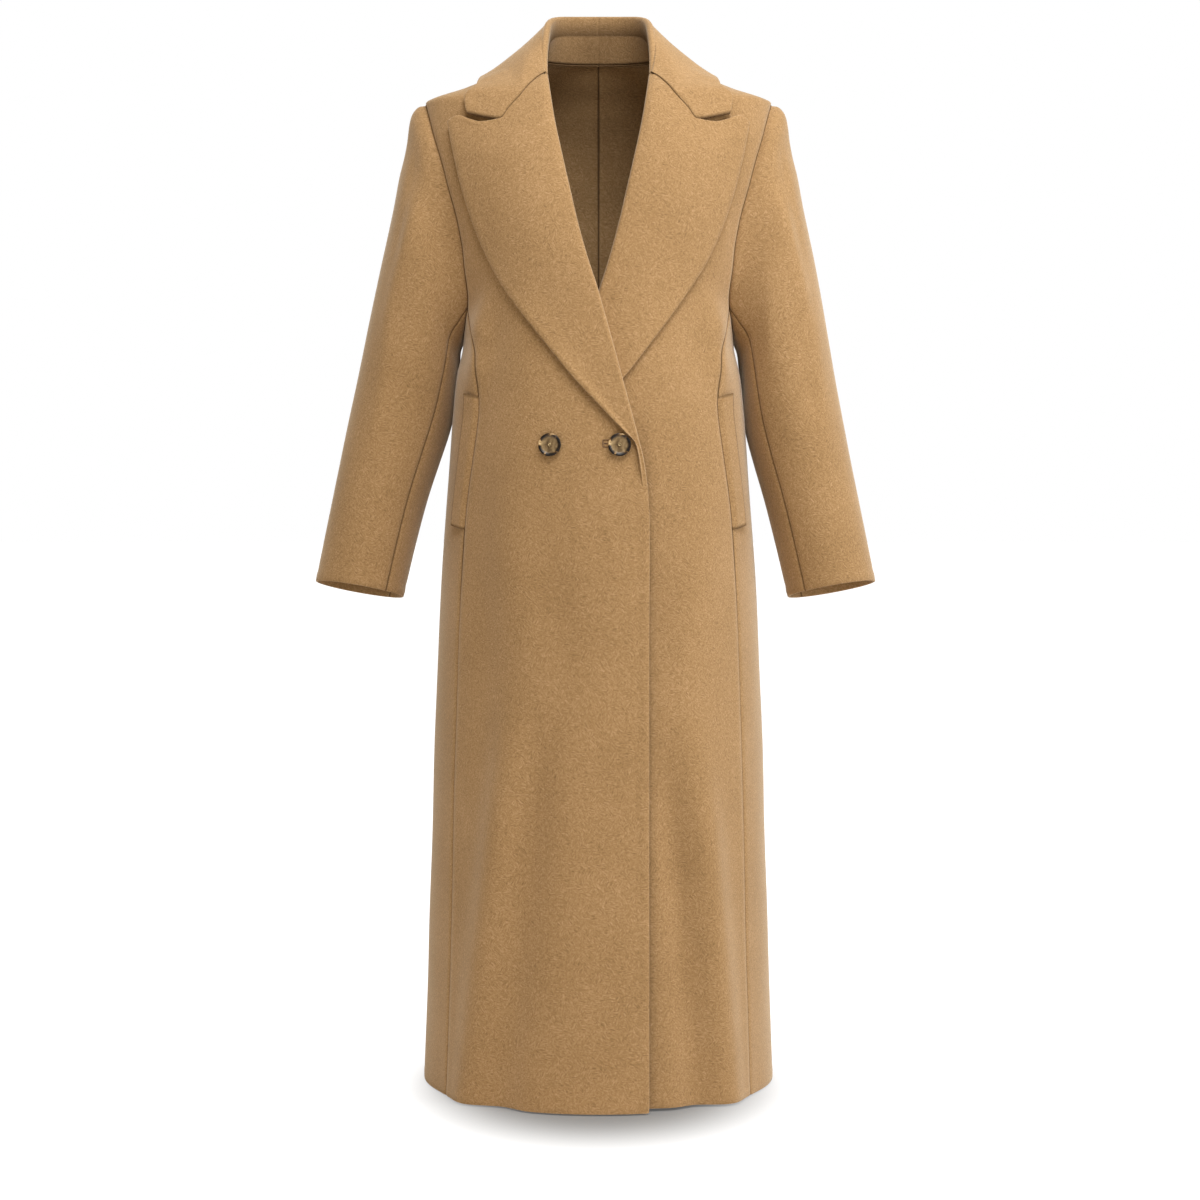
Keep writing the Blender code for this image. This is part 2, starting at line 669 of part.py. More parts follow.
def lapel_fold(side, part, thickness):
    distance, height = fold_section(thickness)
    across = distance * fold_scale(part) / lapel_width(part)
    return lapel_points(side, part, across, height + 0 * across)


def edge_lift(shares, sewn):
    # The free edge of a lapel or collar lies a little off the cloth, past the sewn share.
    return EDGE_LIFT * ease((shares - sewn) / (1 - sewn))


def lapel(name, side):
    part = (roll_rows() - BREAK) / (GORGE - BREAK)
    part = part[:, None]
    shares = np.array([row[0] for row in LAPEL_TOP[1]][1:])
    leaf_start = FOLD_RADIUS * fold_scale(part) / lapel_width(part)
    across = shares + leaf_start * (1 - shares) * (1 - ease(part))
    swell = LEAF_SWELL * ease((part - 0.42) / 0.3) * (1 - ease((part - 0.86) / 0.14))
    lift = LEAF_LIFT + swell * np.sin(math.pi * shares ** 0.7) + edge_lift(shares, LAPEL_SEWN)
    lift = lift + GORGE_LIFT * ease((part - 0.7) / 0.3)
    skins = []
    for thickness in (0.0, LAPEL_CLOTH):
        fold = lapel_fold(side, part, thickness)
        leaf = lapel_points(side, part, across, lift - thickness)
        skins.append(np.concatenate((fold, leaf), axis=1))
    face, back_points = pull_in(*skins, ("top",))
    return wall(name, mirrored(side, face), mirrored(side, back_points))


def clear_of_front(side, points, room):
    # Moves points forward where they would come nearer than room to the front's face.
    u, y, z = (points[..., i] for i in range(3))
    face, out = body(side, angle_at(u, z), z)
    nearest = face[..., 1] - room / np.clip(-out[..., 1], 0.3, 1.0)
    inside = (u < read(BODY, "width", z)) & (y < read(BODY, "middle", z))
    y = np.where(inside, np.minimum(y, nearest), y)
    return stack(u, y, z)


def neck_parts():
    # Shares of the neck at the collar's sections, shared with the panels' necklines.
    behind = np.linspace(0, NECK_POINT, BACK_NECK_COLUMNS + 1)
    return np.concatenate((behind, np.linspace(NECK_POINT, 1, NECK_ROWS + 1)[1:]))


def roll_frame(side, part):
    # The collar's roll line, its nose direction and the direction out of its leaf.
    def line(at):
        return stack(read(COLLAR_ROLL, "u", at), read(COLLAR_ROLL, "y", at),
                     read(COLLAR_ROLL, "height", at))

    top = line(part)
    step = 0.01
    run = unit(line(np.clip(part + step, 0, 1)) - line(np.clip(part - step, 0, 1)))
    nose = unit(stack(*(read(COLLAR_ROLL, "nose_" + axis, part) for axis in "uyz")))
    gorge = lapel_place(np.ones(2), np.array([0.0, 0.06]))
    gorge_points, gorge_out = body(side, angle_at(gorge[:, 0], gorge[:, 1]), gorge[:, 1],
                                   FOLD_DEPTH)
    last = ease((part - 0.8) / 0.2)[:, None]
    nose = unit(nose * (1 - last) + unit(gorge_points[0] - gorge_points[1]) * last)
    nose = unit(nose - run * np.sum(nose * run, axis=-1, keepdims=True) * (1 - last))
    out = unit(np.cross(nose, run) * (1 - last) + gorge_out[0] * last)
    return top * (1 - last) + gorge_points[0] * last, nose, out


def strip_end(side, part, thickness):
    # The seam under the roll. Near the gorge it runs into the return of the lapel's fold.
    top, nose, out = roll_frame(side, part)
    seam = stack(*(read(STAND_SEAM, axis, part) for axis in ("u", "y", "height")))
    distance, height = fold_section(thickness)
    fold_return = top - nose * distance[0] + out * (height[0] - FOLD_DEPTH)
    close = ease((part - 0.75) / 0.25)[:, None]
    sink = out * STRIP_SINK * 4 * close * (1 - close)
    return (seam + out * thickness) * (1 - close) + fold_return * close - sink


def collar(name, side):
    part = neck_parts()
    top, nose, out = roll_frame(side, part)
    last = ease((part - 0.62) / 0.38)[:, None, None]
    shares = np.array([row[0] for row in COLLAR_END[1]])
    end_angle = np.radians(read(COLLAR_EDGE, "angle", part))
    edge, edge_out = body(side, end_angle, read(COLLAR_EDGE, "height", part),
                          read(COLLAR_EDGE, "lift", part) * MM)
    skins = []
    for thickness in (0.0, LAPEL_CLOTH):
        distance, height = fold_section(thickness)
        height = height - FOLD_DEPTH
        fold = top[:, None] - nose[:, None] * distance[:, None] + out[:, None] * height[:, None]
        fold[:, 0] = strip_end(side, part, thickness)
        leaf_end = edge - edge_out * thickness
        leaf = fold[:, -1:] + (leaf_end[:, None] - fold[:, -1:]) * shares[1:, None]
        fold[-1] = lapel_fold(side, np.ones((1, 1)), thickness)[0]
        u, z = read(COLLAR_END, "u", shares[1:]), read(COLLAR_END, "height", shares[1:])
        lift = LEAF_LIFT + GORGE_LIFT - thickness + edge_lift(shares[1:], COLLAR_SEWN)
        gorge_line, _ = body(side, angle_at(u, z), z, lift)
        leaf = leaf + last * (gorge_line - leaf[-1])
        leaf[:-1] = clear_of_front(side, leaf[:-1], COLLAR_ROOM - thickness)
        skins.append(np.concatenate((fold, leaf), axis=1))
    face, back_points = pull_in(*skins, ("low", "first", "top"))
    return wall(name, mirrored(side, face), mirrored(side, back_points))


def stand(name, side):
    part = neck_parts()[:-2]
    angle, z = np.radians(read(NECKLINE, "angle", part)), read(NECKLINE, "height", part)
    base, _ = body(side, angle, z)
    _, _, out = roll_frame(side, part)
    rise = np.linspace(0, 1, 3)[:, None]
    skins = []
    for thickness in (0.0, CLOTH):
        low = base - out * (CLOTH - thickness)
        high = strip_end(side, part, thickness)
        skins.append(low[:, None] + (high - low)[:, None] * rise)
    face, back_points = pull_in(*skins, ("first", "last"), 2 * SEAM)
    face, back_points = pull_in(face, back_points, ("low",))
    return wall(name, mirrored(side, face), mirrored(side, back_points))


def welt(name, side):
    rows = np.linspace(0, 1, 6)[:, None]
    across = np.linspace(0, 1, 4)[None, :]
    z = WELT_LOW + (WELT_TOP - WELT_LOW) * rows + WELT_SLANT * across
    start = np.radians(read(SIDE_SEAMS, "front", z))
    here, _ = body(side, start, z)
    after, _ = body(side, start + 0.01, z)
    reach = 0.01 / np.linalg.norm(after - here, axis=-1)
    angle = start + (WELT_WIDTH * across + SEAM) * reach
    skins = []
    for thickness in (0.0, WELT_CLOTH):
        points, _ = body(side, angle, z, 2 * SEAM + WELT_CLOTH - thickness + EDGE_LIFT * across)
        skins.append(points)
    return wall(name, mirrored(side, skins[0]), mirrored(side, skins[1]))


def turned(name, profile, look_name, look, place_at, out):
    # A round piece from its profile, placed with its axis along out.
    mesh = bpy.data.meshes.new(name)
    edges = [(i, i + 1) for i in range(len(profile) - 1)]
    mesh.from_pydata([(r, 0.0, z) for r, z in profile], edges, [])
    piece = place(name, mesh, look_name, look)
    screw = piece.modifiers.new("turn", "SCREW")
    screw.steps = ROUND_STEPS
    screw.render_steps = ROUND_STEPS
    screw.use_merge_vertices = True
    screw.merge_threshold = 0.00002
    screw.use_smooth_shade = True
    piece.rotation_euler = Vector(out).to_track_quat("Z", "Y").to_euler()
    piece.location = place_at
    return piece


def buttons():
    rim, radius, dish = BUTTON_RIM, BUTTON_RADIUS, BUTTON_DISH
    button_profile = [
        (0.0, dish),
        (0.62 * radius, dish),
        (0.74 * radius, dish + 0.35 * (rim - dish)),
        (0.84 * radius, 0.98 * rim),
        (0.92 * radius, rim),
        (radius, 0.66 * rim),
        (0.98 * radius, 0.42 * rim),
        (0.70 * radius, 0.0),
        (0.0, 0.0),
    ]
    stud_profile = [
        (0.0, STUD_HEIGHT),
        (0.6 * STUD_RADIUS, 0.9 * STUD_HEIGHT),
        (STUD_RADIUS, 0.45 * STUD_HEIGHT),
        (STUD_RADIUS, 0.0),
        (0.0, 0.0),
    ]
    for name, u in BUTTONS_U.items():
        z = np.array(BUTTON_HEIGHT)
        base, out = body(-1, angle_at(np.array(u), z), z, BUTTON_GAP)
        base, out = mirrored(-1, base), mirrored(-1, out)
        turned(name, button_profile, "horn", HORN, base, out)
        seat = base + out * (BUTTON_DISH + SEAM)
        turned(name.replace("button", "button_stud"), stud_profile, "brass", BRASS, seat, out)


def build():
    for old in list(bpy.data.objects):
        bpy.data.objects.remove(old)
    coat = bpy.data.collections.new("long_coat")
    bpy.context.scene.collection.children.link(coat)
    for side, word in ((-1, "right"), (1, "left")):
        front("front_" + word, side)
        side_body("side_" + word, side)
        back("back_" + word, side)
        sleeves(side, word)
        lapel("lapel_" + word, side)
        collar("collar_" + word, side)
        stand("stand_" + word, side)
        welt("welt_" + word, side)
    buttons()


build()
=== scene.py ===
# Looks of a long coat in brushed camel wool, filled out as worn and hollow.
# Metres. The coat faces -Y and the wearer's right is -X. The shapes follow the solids of the
# frame: most points are worked out on one side of the coat, where u is the distance out from
# the centre, angle runs round the body from the centre front (0) to the centre back (180
# degrees), and side is -1 for the right and 1 for the left. A pair that is read by between()
# gives where something is still 0 and where it is complete.

import math

import bpy
import numpy as np
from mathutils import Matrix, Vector


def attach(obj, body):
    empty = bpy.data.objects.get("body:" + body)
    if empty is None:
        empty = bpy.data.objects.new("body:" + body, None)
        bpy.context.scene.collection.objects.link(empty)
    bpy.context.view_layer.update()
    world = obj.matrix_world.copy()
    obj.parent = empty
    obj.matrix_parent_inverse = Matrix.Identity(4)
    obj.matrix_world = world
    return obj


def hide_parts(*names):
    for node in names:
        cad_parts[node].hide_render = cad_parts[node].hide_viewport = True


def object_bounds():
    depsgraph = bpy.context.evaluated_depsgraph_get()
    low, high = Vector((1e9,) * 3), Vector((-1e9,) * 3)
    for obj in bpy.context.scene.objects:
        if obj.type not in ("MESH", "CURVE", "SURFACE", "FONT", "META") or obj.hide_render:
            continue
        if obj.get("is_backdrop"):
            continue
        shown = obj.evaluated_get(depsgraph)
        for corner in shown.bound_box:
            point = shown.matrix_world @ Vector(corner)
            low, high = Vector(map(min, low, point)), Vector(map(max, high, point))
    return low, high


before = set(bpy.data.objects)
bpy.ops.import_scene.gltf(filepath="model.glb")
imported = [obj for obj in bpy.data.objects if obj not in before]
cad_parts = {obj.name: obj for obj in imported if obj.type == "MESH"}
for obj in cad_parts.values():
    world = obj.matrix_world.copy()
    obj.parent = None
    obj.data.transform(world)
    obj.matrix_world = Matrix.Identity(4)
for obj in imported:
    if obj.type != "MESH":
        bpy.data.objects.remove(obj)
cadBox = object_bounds()
print("frame loaded")

mm = 0.001


studio = {
    "cameraPlace": (0.0018, -2.7, -0.4877),
    "cameraPitch": 3.307,      # degrees below level
    "lens": 67.5,
    "sensor": 36.0,
    "floorHeight": -1.2225,
    "floorSize": 40,
    "floorWhite": "#fbfbfb",
    "floorGlow": 0.8,          # the rest of its brightness comes from the lights
    "shadowBase": 0.12,        # how bright the floor's glow is in the painted shadow under the coat
    "shadowShape": (1.10, 0.92, 0.0),   # of that soft painted shadow: x, y
    "shadowCentre": (0.0, -0.035, 0.0),
    "shadowReach": (0.130, 0.300),     # from here outwards the floor fades into the backdrop
    "floorFar": 1.35,
    "backdrop": 1.0,           # brightness of the plain backdrop as the camera sees it
    "roomTint": "#ffeacb",
    "roomLight": 0.32,         # brightness of the same backdrop as it lights the coat
    "lights": (
        ("name", "place", "aim", "width", "height", "power", "colour"),
        (
            ("overheadSoftbox", (0.40, -1.15, 1.75), (0.0, -0.05, -0.35), 1.6, 1.2, 63, "#ffffff"),
            ("leftSoftbox", (-2.4, -1.3, 0.4), (0.0, 0.0, -0.6), 0.8, 2.0, 5, "#fff3e2"),
            ("rightSoftbox", (2.3, -1.0, 0.5), (0.0, 0.0, -0.6), 0.8, 2.0, 34, "#ffffff"),
            ("backSoftbox", (0.0, 2.2, 1.2), (0.0, 0.0, -0.45), 2.0, 1.4, 24, "#ffffff"),
        ),
    ),
}


def linearColour(hexText):
    # sRGB hex to linear light.
    values = [int(hexText[i : i + 2], 16) / 255 for i in (1, 3, 5)]
    return tuple(v / 12.92 if v <= 0.04045 else ((v + 0.055) / 1.055) ** 2.4 for v in values)


def addNode(tree, kind, settings=None, **inputs):
    # Adds a node and sets its options and its inputs. An input is named as Blender names it, or
    # by s and its number. Another node's socket is linked to it, and text is a hex colour.
    made = tree.nodes.new(kind)
    for name, value in (settings or {}).items():
        setattr(made, name, value)
    for name, value in inputs.items():
        key = int(name[1:]) if name[0] == "s" and name[1:].isdigit() else name.replace("_", " ")
        socket = made.inputs[key]
        if isinstance(value, bpy.types.NodeSocket):
            tree.links.new(value, socket)
        elif isinstance(value, str):
            socket.default_value = (*linearColour(value), 1.0)
        else:
            socket.default_value = value
    return made


def emptyMaterial(name):
    made = bpy.data.materials.new(name)
    made.use_nodes = True
    made.node_tree.nodes.clear()
    return made, made.node_tree


def objectPlace(tree):
    # The place on the piece itself, in metres.
    return addNode(tree, "ShaderNodeTexCoord").outputs["Object"]


def noise(tree, place, perMetre, detail, roughness=0.5, distortion=0.0):
    return addNode(tree, "ShaderNodeTexNoise", Vector=place, Scale=perMetre, Detail=detail,
                   Roughness=roughness, Distortion=distortion).outputs["Fac"]


def mathNode(tree, operation, a, b, c=0.0):
    return addNode(tree, "ShaderNodeMath", {"operation": operation}, s0=a, s1=b, s2=c).outputs[0]


def weighted(tree, a, b, share):
    # A share of a, and b for the rest.
    return mathNode(tree, "MULTIPLY_ADD", a, share, mathNode(tree, "MULTIPLY", b, 1 - share))


def smoothStep(tree, value, span):
    low, high = span
    return addNode(tree, "ShaderNodeMapRange", {"interpolation_type": "SMOOTHSTEP"},
                   Value=value, From_Min=low, From_Max=high).outputs["Result"]


def colourRamp(tree, value, stops):
    # stops: pairs of a value and the colour that it has.
    made = addNode(tree, "ShaderNodeValToRGB", Fac=value)
    elements = made.color_ramp.elements
    elements.remove(elements[1])
    for k, (at, colour) in enumerate(stops):
        element = elements[0] if k == 0 else elements.new(at)
        element.position = at
        element.color = (*linearColour(colour), 1)
    return made.outputs["Color"]


def colourMix(tree, share, a, b):
    return addNode(tree, "ShaderNodeMix", {"data_type": "RGBA"}, s0=share, s6=a, s7=b).outputs[2]


def buildCamera():
    camera = bpy.data.objects.new("camera", bpy.data.cameras.new("camera"))
    camera.location = studio["cameraPlace"]
    camera.rotation_euler = (math.radians(90 - studio["cameraPitch"]), 0, 0)
    camera.data.lens = studio["lens"]
    camera.data.sensor_width = studio["sensor"]
    bpy.context.collection.objects.link(camera)
    bpy.context.scene.camera = camera
    bpy.context.scene.view_settings.view_transform = "Standard"
    bpy.context.scene.view_settings.look = "None"


def buildLights():
    names, rows = studio["lights"]
    for row in rows:
        lamp = dict(zip(names, row))
        data = bpy.data.lights.new(lamp["name"], "AREA")
        data.shape = "RECTANGLE"
        data.size, data.size_y, data.energy = lamp["width"], lamp["height"], lamp["power"]
        data.color = linearColour(lamp["colour"])
        light = bpy.data.objects.new(lamp["name"], data)
        light.location = lamp["place"]
        aim = Vector(lamp["aim"]) - Vector(lamp["place"])
        light.rotation_euler = aim.to_track_quat("-Z", "Y").to_euler()
        bpy.context.collection.objects.link(light)


def buildRoom():
    # The backdrop is white to the camera and dimmer and warmer to the coat.
    world = bpy.data.worlds.new("paleRoom")
    bpy.context.scene.world = world
    world.use_nodes = True
    tree = world.node_tree
    tree.nodes.clear()
    seen = addNode(tree, "ShaderNodeLightPath").outputs["Is Camera Ray"]
    shown = addNode(tree, "ShaderNodeBackground", Color="#ffffff", Strength=studio["backdrop"])
    room = addNode(tree, "ShaderNodeBackground", Color=studio["roomTint"],
                   Strength=studio["roomLight"])
    mix = addNode(tree, "ShaderNodeMixShader", Fac=seen, s1=room.outputs[0], s2=shown.outputs[0])
    addNode(tree, "ShaderNodeOutputWorld", Surface=mix.outputs[0])


def buildFloor():
    # White paint with a soft shadow painted under the coat by dimming its glow there, which fades
    # into the backdrop. The paint also takes the lights' real shadows.
    floorMaterial, tree = emptyMaterial("paintedFloor")
    seen = addNode(tree, "ShaderNodeLightPath").outputs["Is Camera Ray"]
    paint = addNode(tree, "ShaderNodeBsdfDiffuse", Color=studio["floorWhite"])
    place = addNode(tree, "ShaderNodeNewGeometry").outputs["Position"]
    moved = addNode(tree, "ShaderNodeVectorMath", {"operation": "SUBTRACT"}, s0=place,
                    s1=studio["shadowCentre"])
    flatPlace = addNode(tree, "ShaderNodeVectorMath", {"operation": "MULTIPLY"},
                        s0=moved.outputs["Vector"], s1=studio["shadowShape"])
    distance = addNode(tree, "ShaderNodeVectorMath", {"operation": "LENGTH"},
                       s0=flatPlace.outputs["Vector"]).outputs["Value"]
    near, far = studio["shadowReach"]
    # Painted shadow: the glow is dim near the coat and grows to full white further out.
    paintedShadowGlow = addNode(tree, "ShaderNodeMapRange", {"interpolation_type": "SMOOTHSTEP"},
                     Value=distance, From_Min=near, From_Max=far, To_Min=studio["shadowBase"],
                     To_Max=studio["floorFar"])
    glow = addNode(tree, "ShaderNodeEmission", Color="#ffffff",
                   Strength=paintedShadowGlow.outputs["Result"])
    both = addNode(tree, "ShaderNodeMixShader", Fac=studio["floorGlow"], s1=paint.outputs[0],
                   s2=glow.outputs[0])
    mix = addNode(tree, "ShaderNodeMixShader", Fac=seen, s1=paint.outputs[0], s2=both.outputs[0])
    addNode(tree, "ShaderNodeOutputMaterial", Surface=mix.outputs[0])
    middle = (0, 0, studio["floorHeight"])
    bpy.ops.mesh.primitive_plane_add(size=studio["floorSize"], location=middle)
    floor = bpy.context.object
    floor.name = "floor"
    floor.data.materials.append(floorMaterial)
    floor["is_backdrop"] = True


buildCamera()
buildLights()
buildRoom()
buildFloor()
print("studio made")

cut = {
    "cloth": 2.0 * mm,
    "lapelCloth": 2.4 * mm,
    "weltCloth": 2.6 * mm,
    "hem": -1.220,
    "break": -0.528,            # lower end of the lapels' roll lines
    "gorge": -0.027,            # upper end, where the collar is sewn on
    "shoulder": -0.054,
    "armpit": -0.335,
    "armReachFront": math.radians(28),
    "armReachBack": math.radians(26),
    "frontJoin": math.radians(138),     # turns round the armhole where the side body starts
    "backJoin": math.radians(230),      # and ends
    "neckPoint": 0.60,          # the shoulder seam's place along the neck
    "underShorter": 3.5 * mm,   # the under front's hem is higher
}

# How the right front lies over the left one.
overlap = {
    "edge": 0.052,              # u of the over front's edge
    "liftHem": 6.5 * mm,        # how far the over front stands out low down
    "liftChest": 9.8 * mm,      # and higher up
    "liftHeights": (-0.72, -0.56),
    "liftReach": (0.145, 0.075),    # u
    "liftTop": (-0.13, -0.27),
    "underSink": -6.0 * mm,     # how far the under front sinks beside it
    "sinkWidth": 0.055,
    "sinkHeights": (-0.54, -0.66),
    "shade": 0.5,               # painted shade on the under front there, where less light reaches
    "shadeWidth": 9 * mm,
    "shadeHeights": (-0.40, -0.52),
}

# Low waves and folds of the cloth.
drape = {
    "creaseGain": 1.7,          # the soft creases are drawn this much stronger than their table
    "foldRamp": 0.4,            # share of a fold over which it rises at its end
    "foldFacing": 0.3,          # and of the depth over which it dies away at the sides
    "waveHeight": 0.45 * mm,
    "calmNeck": (0.0, -0.05),   # the waves die away at the neck and the hem
    "calmHem": (-1.25, -1.20),
}

# Rows and columns of faces. The solids have the same surfaces with far fewer.
grid = {
    "lowRows": 96,
    "middleRows": 44,
    "middleCrowding": 1.4,
    "rollRows": 50,
    "rollCrowding": 1.4,
    "neckRows": 20,
    "frontColumns": 64,
    "sideColumns": 32,
    "backNeckColumns": 24,
    "shoulderColumns": 30,
    "sleeveRows": 120,
    "backTopCrowding": 1.5,
    "leafColumns": 44,
    "foldSteps": 10,
    "standRows": 14,
    "weltRows": 50,
    "weltColumns": 14,
    "rimSteps": 3,
}

# Hem first: half width, depth in front and behind, middle in y, squareness.
bodySizes = (
    ("height", "width", "front", "back", "middle", "square"),
    (
        (-1.220, 0.2110, 0.170, 0.168, 0.000, 2.05),
        (-1.000, 0.2035, 0.163, 0.160, 0.000, 2.08),
        (-0.800, 0.1965, 0.155, 0.152, 0.000, 2.12),
        (-0.620, 0.1880, 0.147, 0.143, 0.000, 2.18),
        (-0.500, 0.1795, 0.141, 0.131, 0.000, 2.22),
        (-0.428, 0.1745, 0.137, 0.121, 0.001, 2.25),
        (-0.380, 0.1695, 0.134, 0.117, 0.002, 2.25),
        (-0.335, 0.1605, 0.130, 0.117, 0.003, 2.25),
        (-0.300, 0.1610, 0.127, 0.120, 0.004, 2.25),
        (-0.240, 0.1760, 0.122, 0.124, 0.005, 2.25),
        (-0.180, 0.1910, 0.116, 0.124, 0.006, 2.25),
        (-0.130, 0.2000, 0.107, 0.118, 0.007, 2.22),
        (-0.090, 0.2050, 0.095, 0.108, 0.008, 2.18),
        (-0.054, 0.2060, 0.080, 0.093, 0.009, 2.12),
        (-0.036, 0.1610, 0.068, 0.084, 0.010, 2.10),
        (-0.018, 0.1170, 0.052, 0.072, 0.011, 2.08),
        (0.000, 0.0730, 0.034, 0.060, 0.012, 2.05),
        (0.006, 0.0580, 0.026, 0.055, 0.012, 2.05),
    ),
)

# The seams on each side of the side body, as angles in degrees.
sideSeams = (
    ("height", "front", "back"),
    (
        (-1.220, 57.0, 126.0),
        (-0.800, 57.5, 125.5),
        (-0.556, 57.0, 124.5),
        (-0.404, 50.5, 122.0),
        (-0.360, 54.0, 118.0),
        (-0.298, 71.3, 111.0),
        (-0.284, 73.0, 109.9),
    ),
)

# The roll line, and below it the front edge, as u.
rollLine = (
    ("height", "u"),
    (
        (-1.220, -0.0560),
        (-0.528, -0.0555),
        (-0.489, -0.0520),
        (-0.453, -0.0445),
        (-0.402, -0.0315),
        (-0.360, -0.0205),
        (-0.319, -0.0095),
        (-0.284, 0.0000),
        (-0.248, 0.0115),
        (-0.204, 0.0235),
        (-0.165, 0.0325),
        (-0.132, 0.0400),
        (-0.082, 0.0505),
        (-0.027, 0.0590),
    ),
)

# The lapel's outer edge from the break (0) to the tip (1), then its top from the roll line
# (0) along the gorge seam and its free edge to the tip (1).
lapelEdge = (
    ("part", "u", "height"),
    (
        (0.00, -0.0520, -0.528),
        (0.05, -0.0480, -0.502),
        (0.09, -0.0448, -0.479),
        (0.116, -0.0405, -0.459),
        (0.15, -0.0275, -0.444),
        (0.20, -0.0075, -0.422),
        (0.30, 0.0290, -0.381),
        (0.40, 0.0630, -0.336),
        (0.50, 0.0955, -0.290),
        (0.60, 0.1225, -0.246),
        (0.70, 0.1415, -0.203),
        (0.80, 0.1560, -0.158),
        (0.90, 0.1660, -0.115),
        (1.00, 0.1720, -0.083),
    ),
)
lapelTop = (
    ("part", "u", "height"),
    (
        (0.00, 0.0590, -0.027),
        (0.10, 0.0690, -0.034),
        (0.20, 0.0800, -0.045),
        (0.31, 0.0905, -0.058),
        (0.42, 0.1020, -0.071),
        (0.52, 0.1130, -0.084),
        (0.68, 0.1340, -0.087),
        (0.80, 0.1480, -0.083),
        (0.92, 0.1610, -0.078),
        (1.00, 0.1720, -0.083),
    ),
)

# The collar's front end: along the gorge seam, then its free edge at the notch.
collarEnd = (
    ("part", "u", "height"),
    (
        (0.00, 0.0590, -0.027),
        (0.13, 0.0690, -0.034),
        (0.26, 0.0800, -0.045),
        (0.40, 0.0905, -0.058),
        (0.55, 0.1020, -0.071),
        (0.70, 0.1130, -0.084),
        (0.85, 0.1320, -0.0805),
        (1.00, 0.1500, -0.0760),
    ),
)

# The neck, from the centre back (0) to the gorge (1).
neckLine = (
    ("part", "angle", "height"),
    (
        (0.00, 180, 0.0040),
        (0.20, 154, 0.0036),
        (0.40, 126, 0.0026),
        (0.60, 90, 0.0000),
        (0.73, 50, -0.0065),
        (0.80, 41, -0.0115),
        (0.90, 30.4, -0.0225),
        (1.00, 24, -0.0300),
    ),
)
collarRoll = (
    ("part", "u", "y", "height", "nose_u", "nose_y", "nose_z"),
    (
        (0.00, 0.0000, 0.0700, 0.0620, 0.00, 0.00, 1.00),
        (0.02, 0.0033, 0.0700, 0.0620, 0.00, 0.00, 1.00),
        (0.15, 0.0245, 0.0675, 0.0615, 0.00, 0.00, 1.00),
        (0.30, 0.0440, 0.0570, 0.0595, 0.00, 0.00, 1.00),
        (0.45, 0.0560, 0.0380, 0.0540, -0.05, 0.00, 1.00),
        (0.60, 0.0605, 0.0140, 0.0420, -0.10, -0.05, 1.00),
        (0.73, 0.0610, -0.0090, 0.0230, -0.35, -0.30, 0.85),
        (0.87, 0.0605, -0.0280, -0.0020, -0.70, -0.35, 0.60),
        (1.00, 0.0590, -0.0440, -0.0270, -0.85, -0.10, 0.50),
    ),
)
standSeam = (
    ("part", "u", "y", "height"),
    (
        (0.00, 0.0000, 0.0620, 0.0380),
        (0.15, 0.0225, 0.0600, 0.0375),
        (0.30, 0.0405, 0.0505, 0.0355),
        (0.45, 0.0525, 0.0340, 0.0300),
        (0.60, 0.0575, 0.0120, 0.0190),
        (0.73, 0.0585, -0.0080, 0.0060),
        (0.87, 0.0590, -0.0250, -0.0090),
        (1.00, 0.0600, -0.0400, -0.0290),
    ),
)
collarEdge = (
    ("part", "angle", "height", "lift"),
    (
        (0.00, 180, -0.030, 5.0),
        (0.15, 164, -0.030, 5.0),
        (0.30, 147, -0.030, 5.0),
        (0.45, 124, -0.029, 5.5),
        (0.60, 96, -0.0225, 6.5),
        (0.73, 72, -0.0290, 6.0),
        (0.87, 48, -0.0470, 4.8),
        (1.00, 45, -0.073, 3.8),
    ),
)

# The sleeve from the armhole (0) to the cuff (1): outer and inner lines, half its depth, and
# the middle of its depth in y.
sleeveSizes = (
    ("part", "outer_u", "outer_z", "inner_u", "inner_z", "depth", "middle"),
    (
        (0.00, 0.2060, -0.054, 0.1605, -0.335, 0.064, 0.004),
        (0.05, 0.2185, -0.067, 0.1630, -0.340, 0.066, 0.005),
        (0.12, 0.2250, -0.098, 0.1655, -0.346, 0.068, 0.006),
        (0.22, 0.2360, -0.140, 0.1685, -0.354, 0.070, 0.007),
        (0.33, 0.2480, -0.195, 0.1715, -0.366, 0.070, 0.008),
        (0.44, 0.2605, -0.250, 0.1755, -0.385, 0.069, 0.008),
        (0.55, 0.2730, -0.308, 0.1800, -0.410, 0.067, 0.006),
        (0.66, 0.2870, -0.376, 0.1855, -0.440, 0.063, 0.003),
        (0.76, 0.2995, -0.435, 0.1950, -0.481, 0.059, -0.002),
        (0.84, 0.3110, -0.492, 0.2060, -0.523, 0.055, -0.007),
        (0.92, 0.3240, -0.556, 0.2190, -0.578, 0.051, -0.012),
        (1.00, 0.3370, -0.620, 0.2330, -0.638, 0.047, -0.017),
    ),
)
sleeveLean = {-1: 9 * mm, 1: 5.5 * mm}  # how far each sleeve's inner side leans to the body
cuffLean = {-1: 0.0, 1: 7 * mm}     # and how far each cuff does
sleeveSwing = math.radians(6)        # how far the front seam swings forward by the cuff
cuffTilt = math.tan(math.radians(9.5))
sleeveShape = {
    # shares of the sleeve's length from the armhole, unless they say otherwise
    "leanStart": (0.05, 0.50),
    "leanEnd": (0.95, 0.55),
    "cuffLean": (0.35, 0.85),
    "cuffTilt": (0.6, 1.0),
    "swing": (0.0, 0.9),
    "ownShape": (0.0, 0.32),    # above this the sleeve follows the armhole's own line
    "head": 3.4 * mm,           # fullness over the sleeve's head, beside the armhole seam
    "headStart": (0.0, 0.025),
    "headEnd": (0.05, 0.19),
    "headReach": (0.1, 0.7),    # cosine of the turn away from the shoulder
    "foldRamp": 0.35,           # of a fold's own length
}

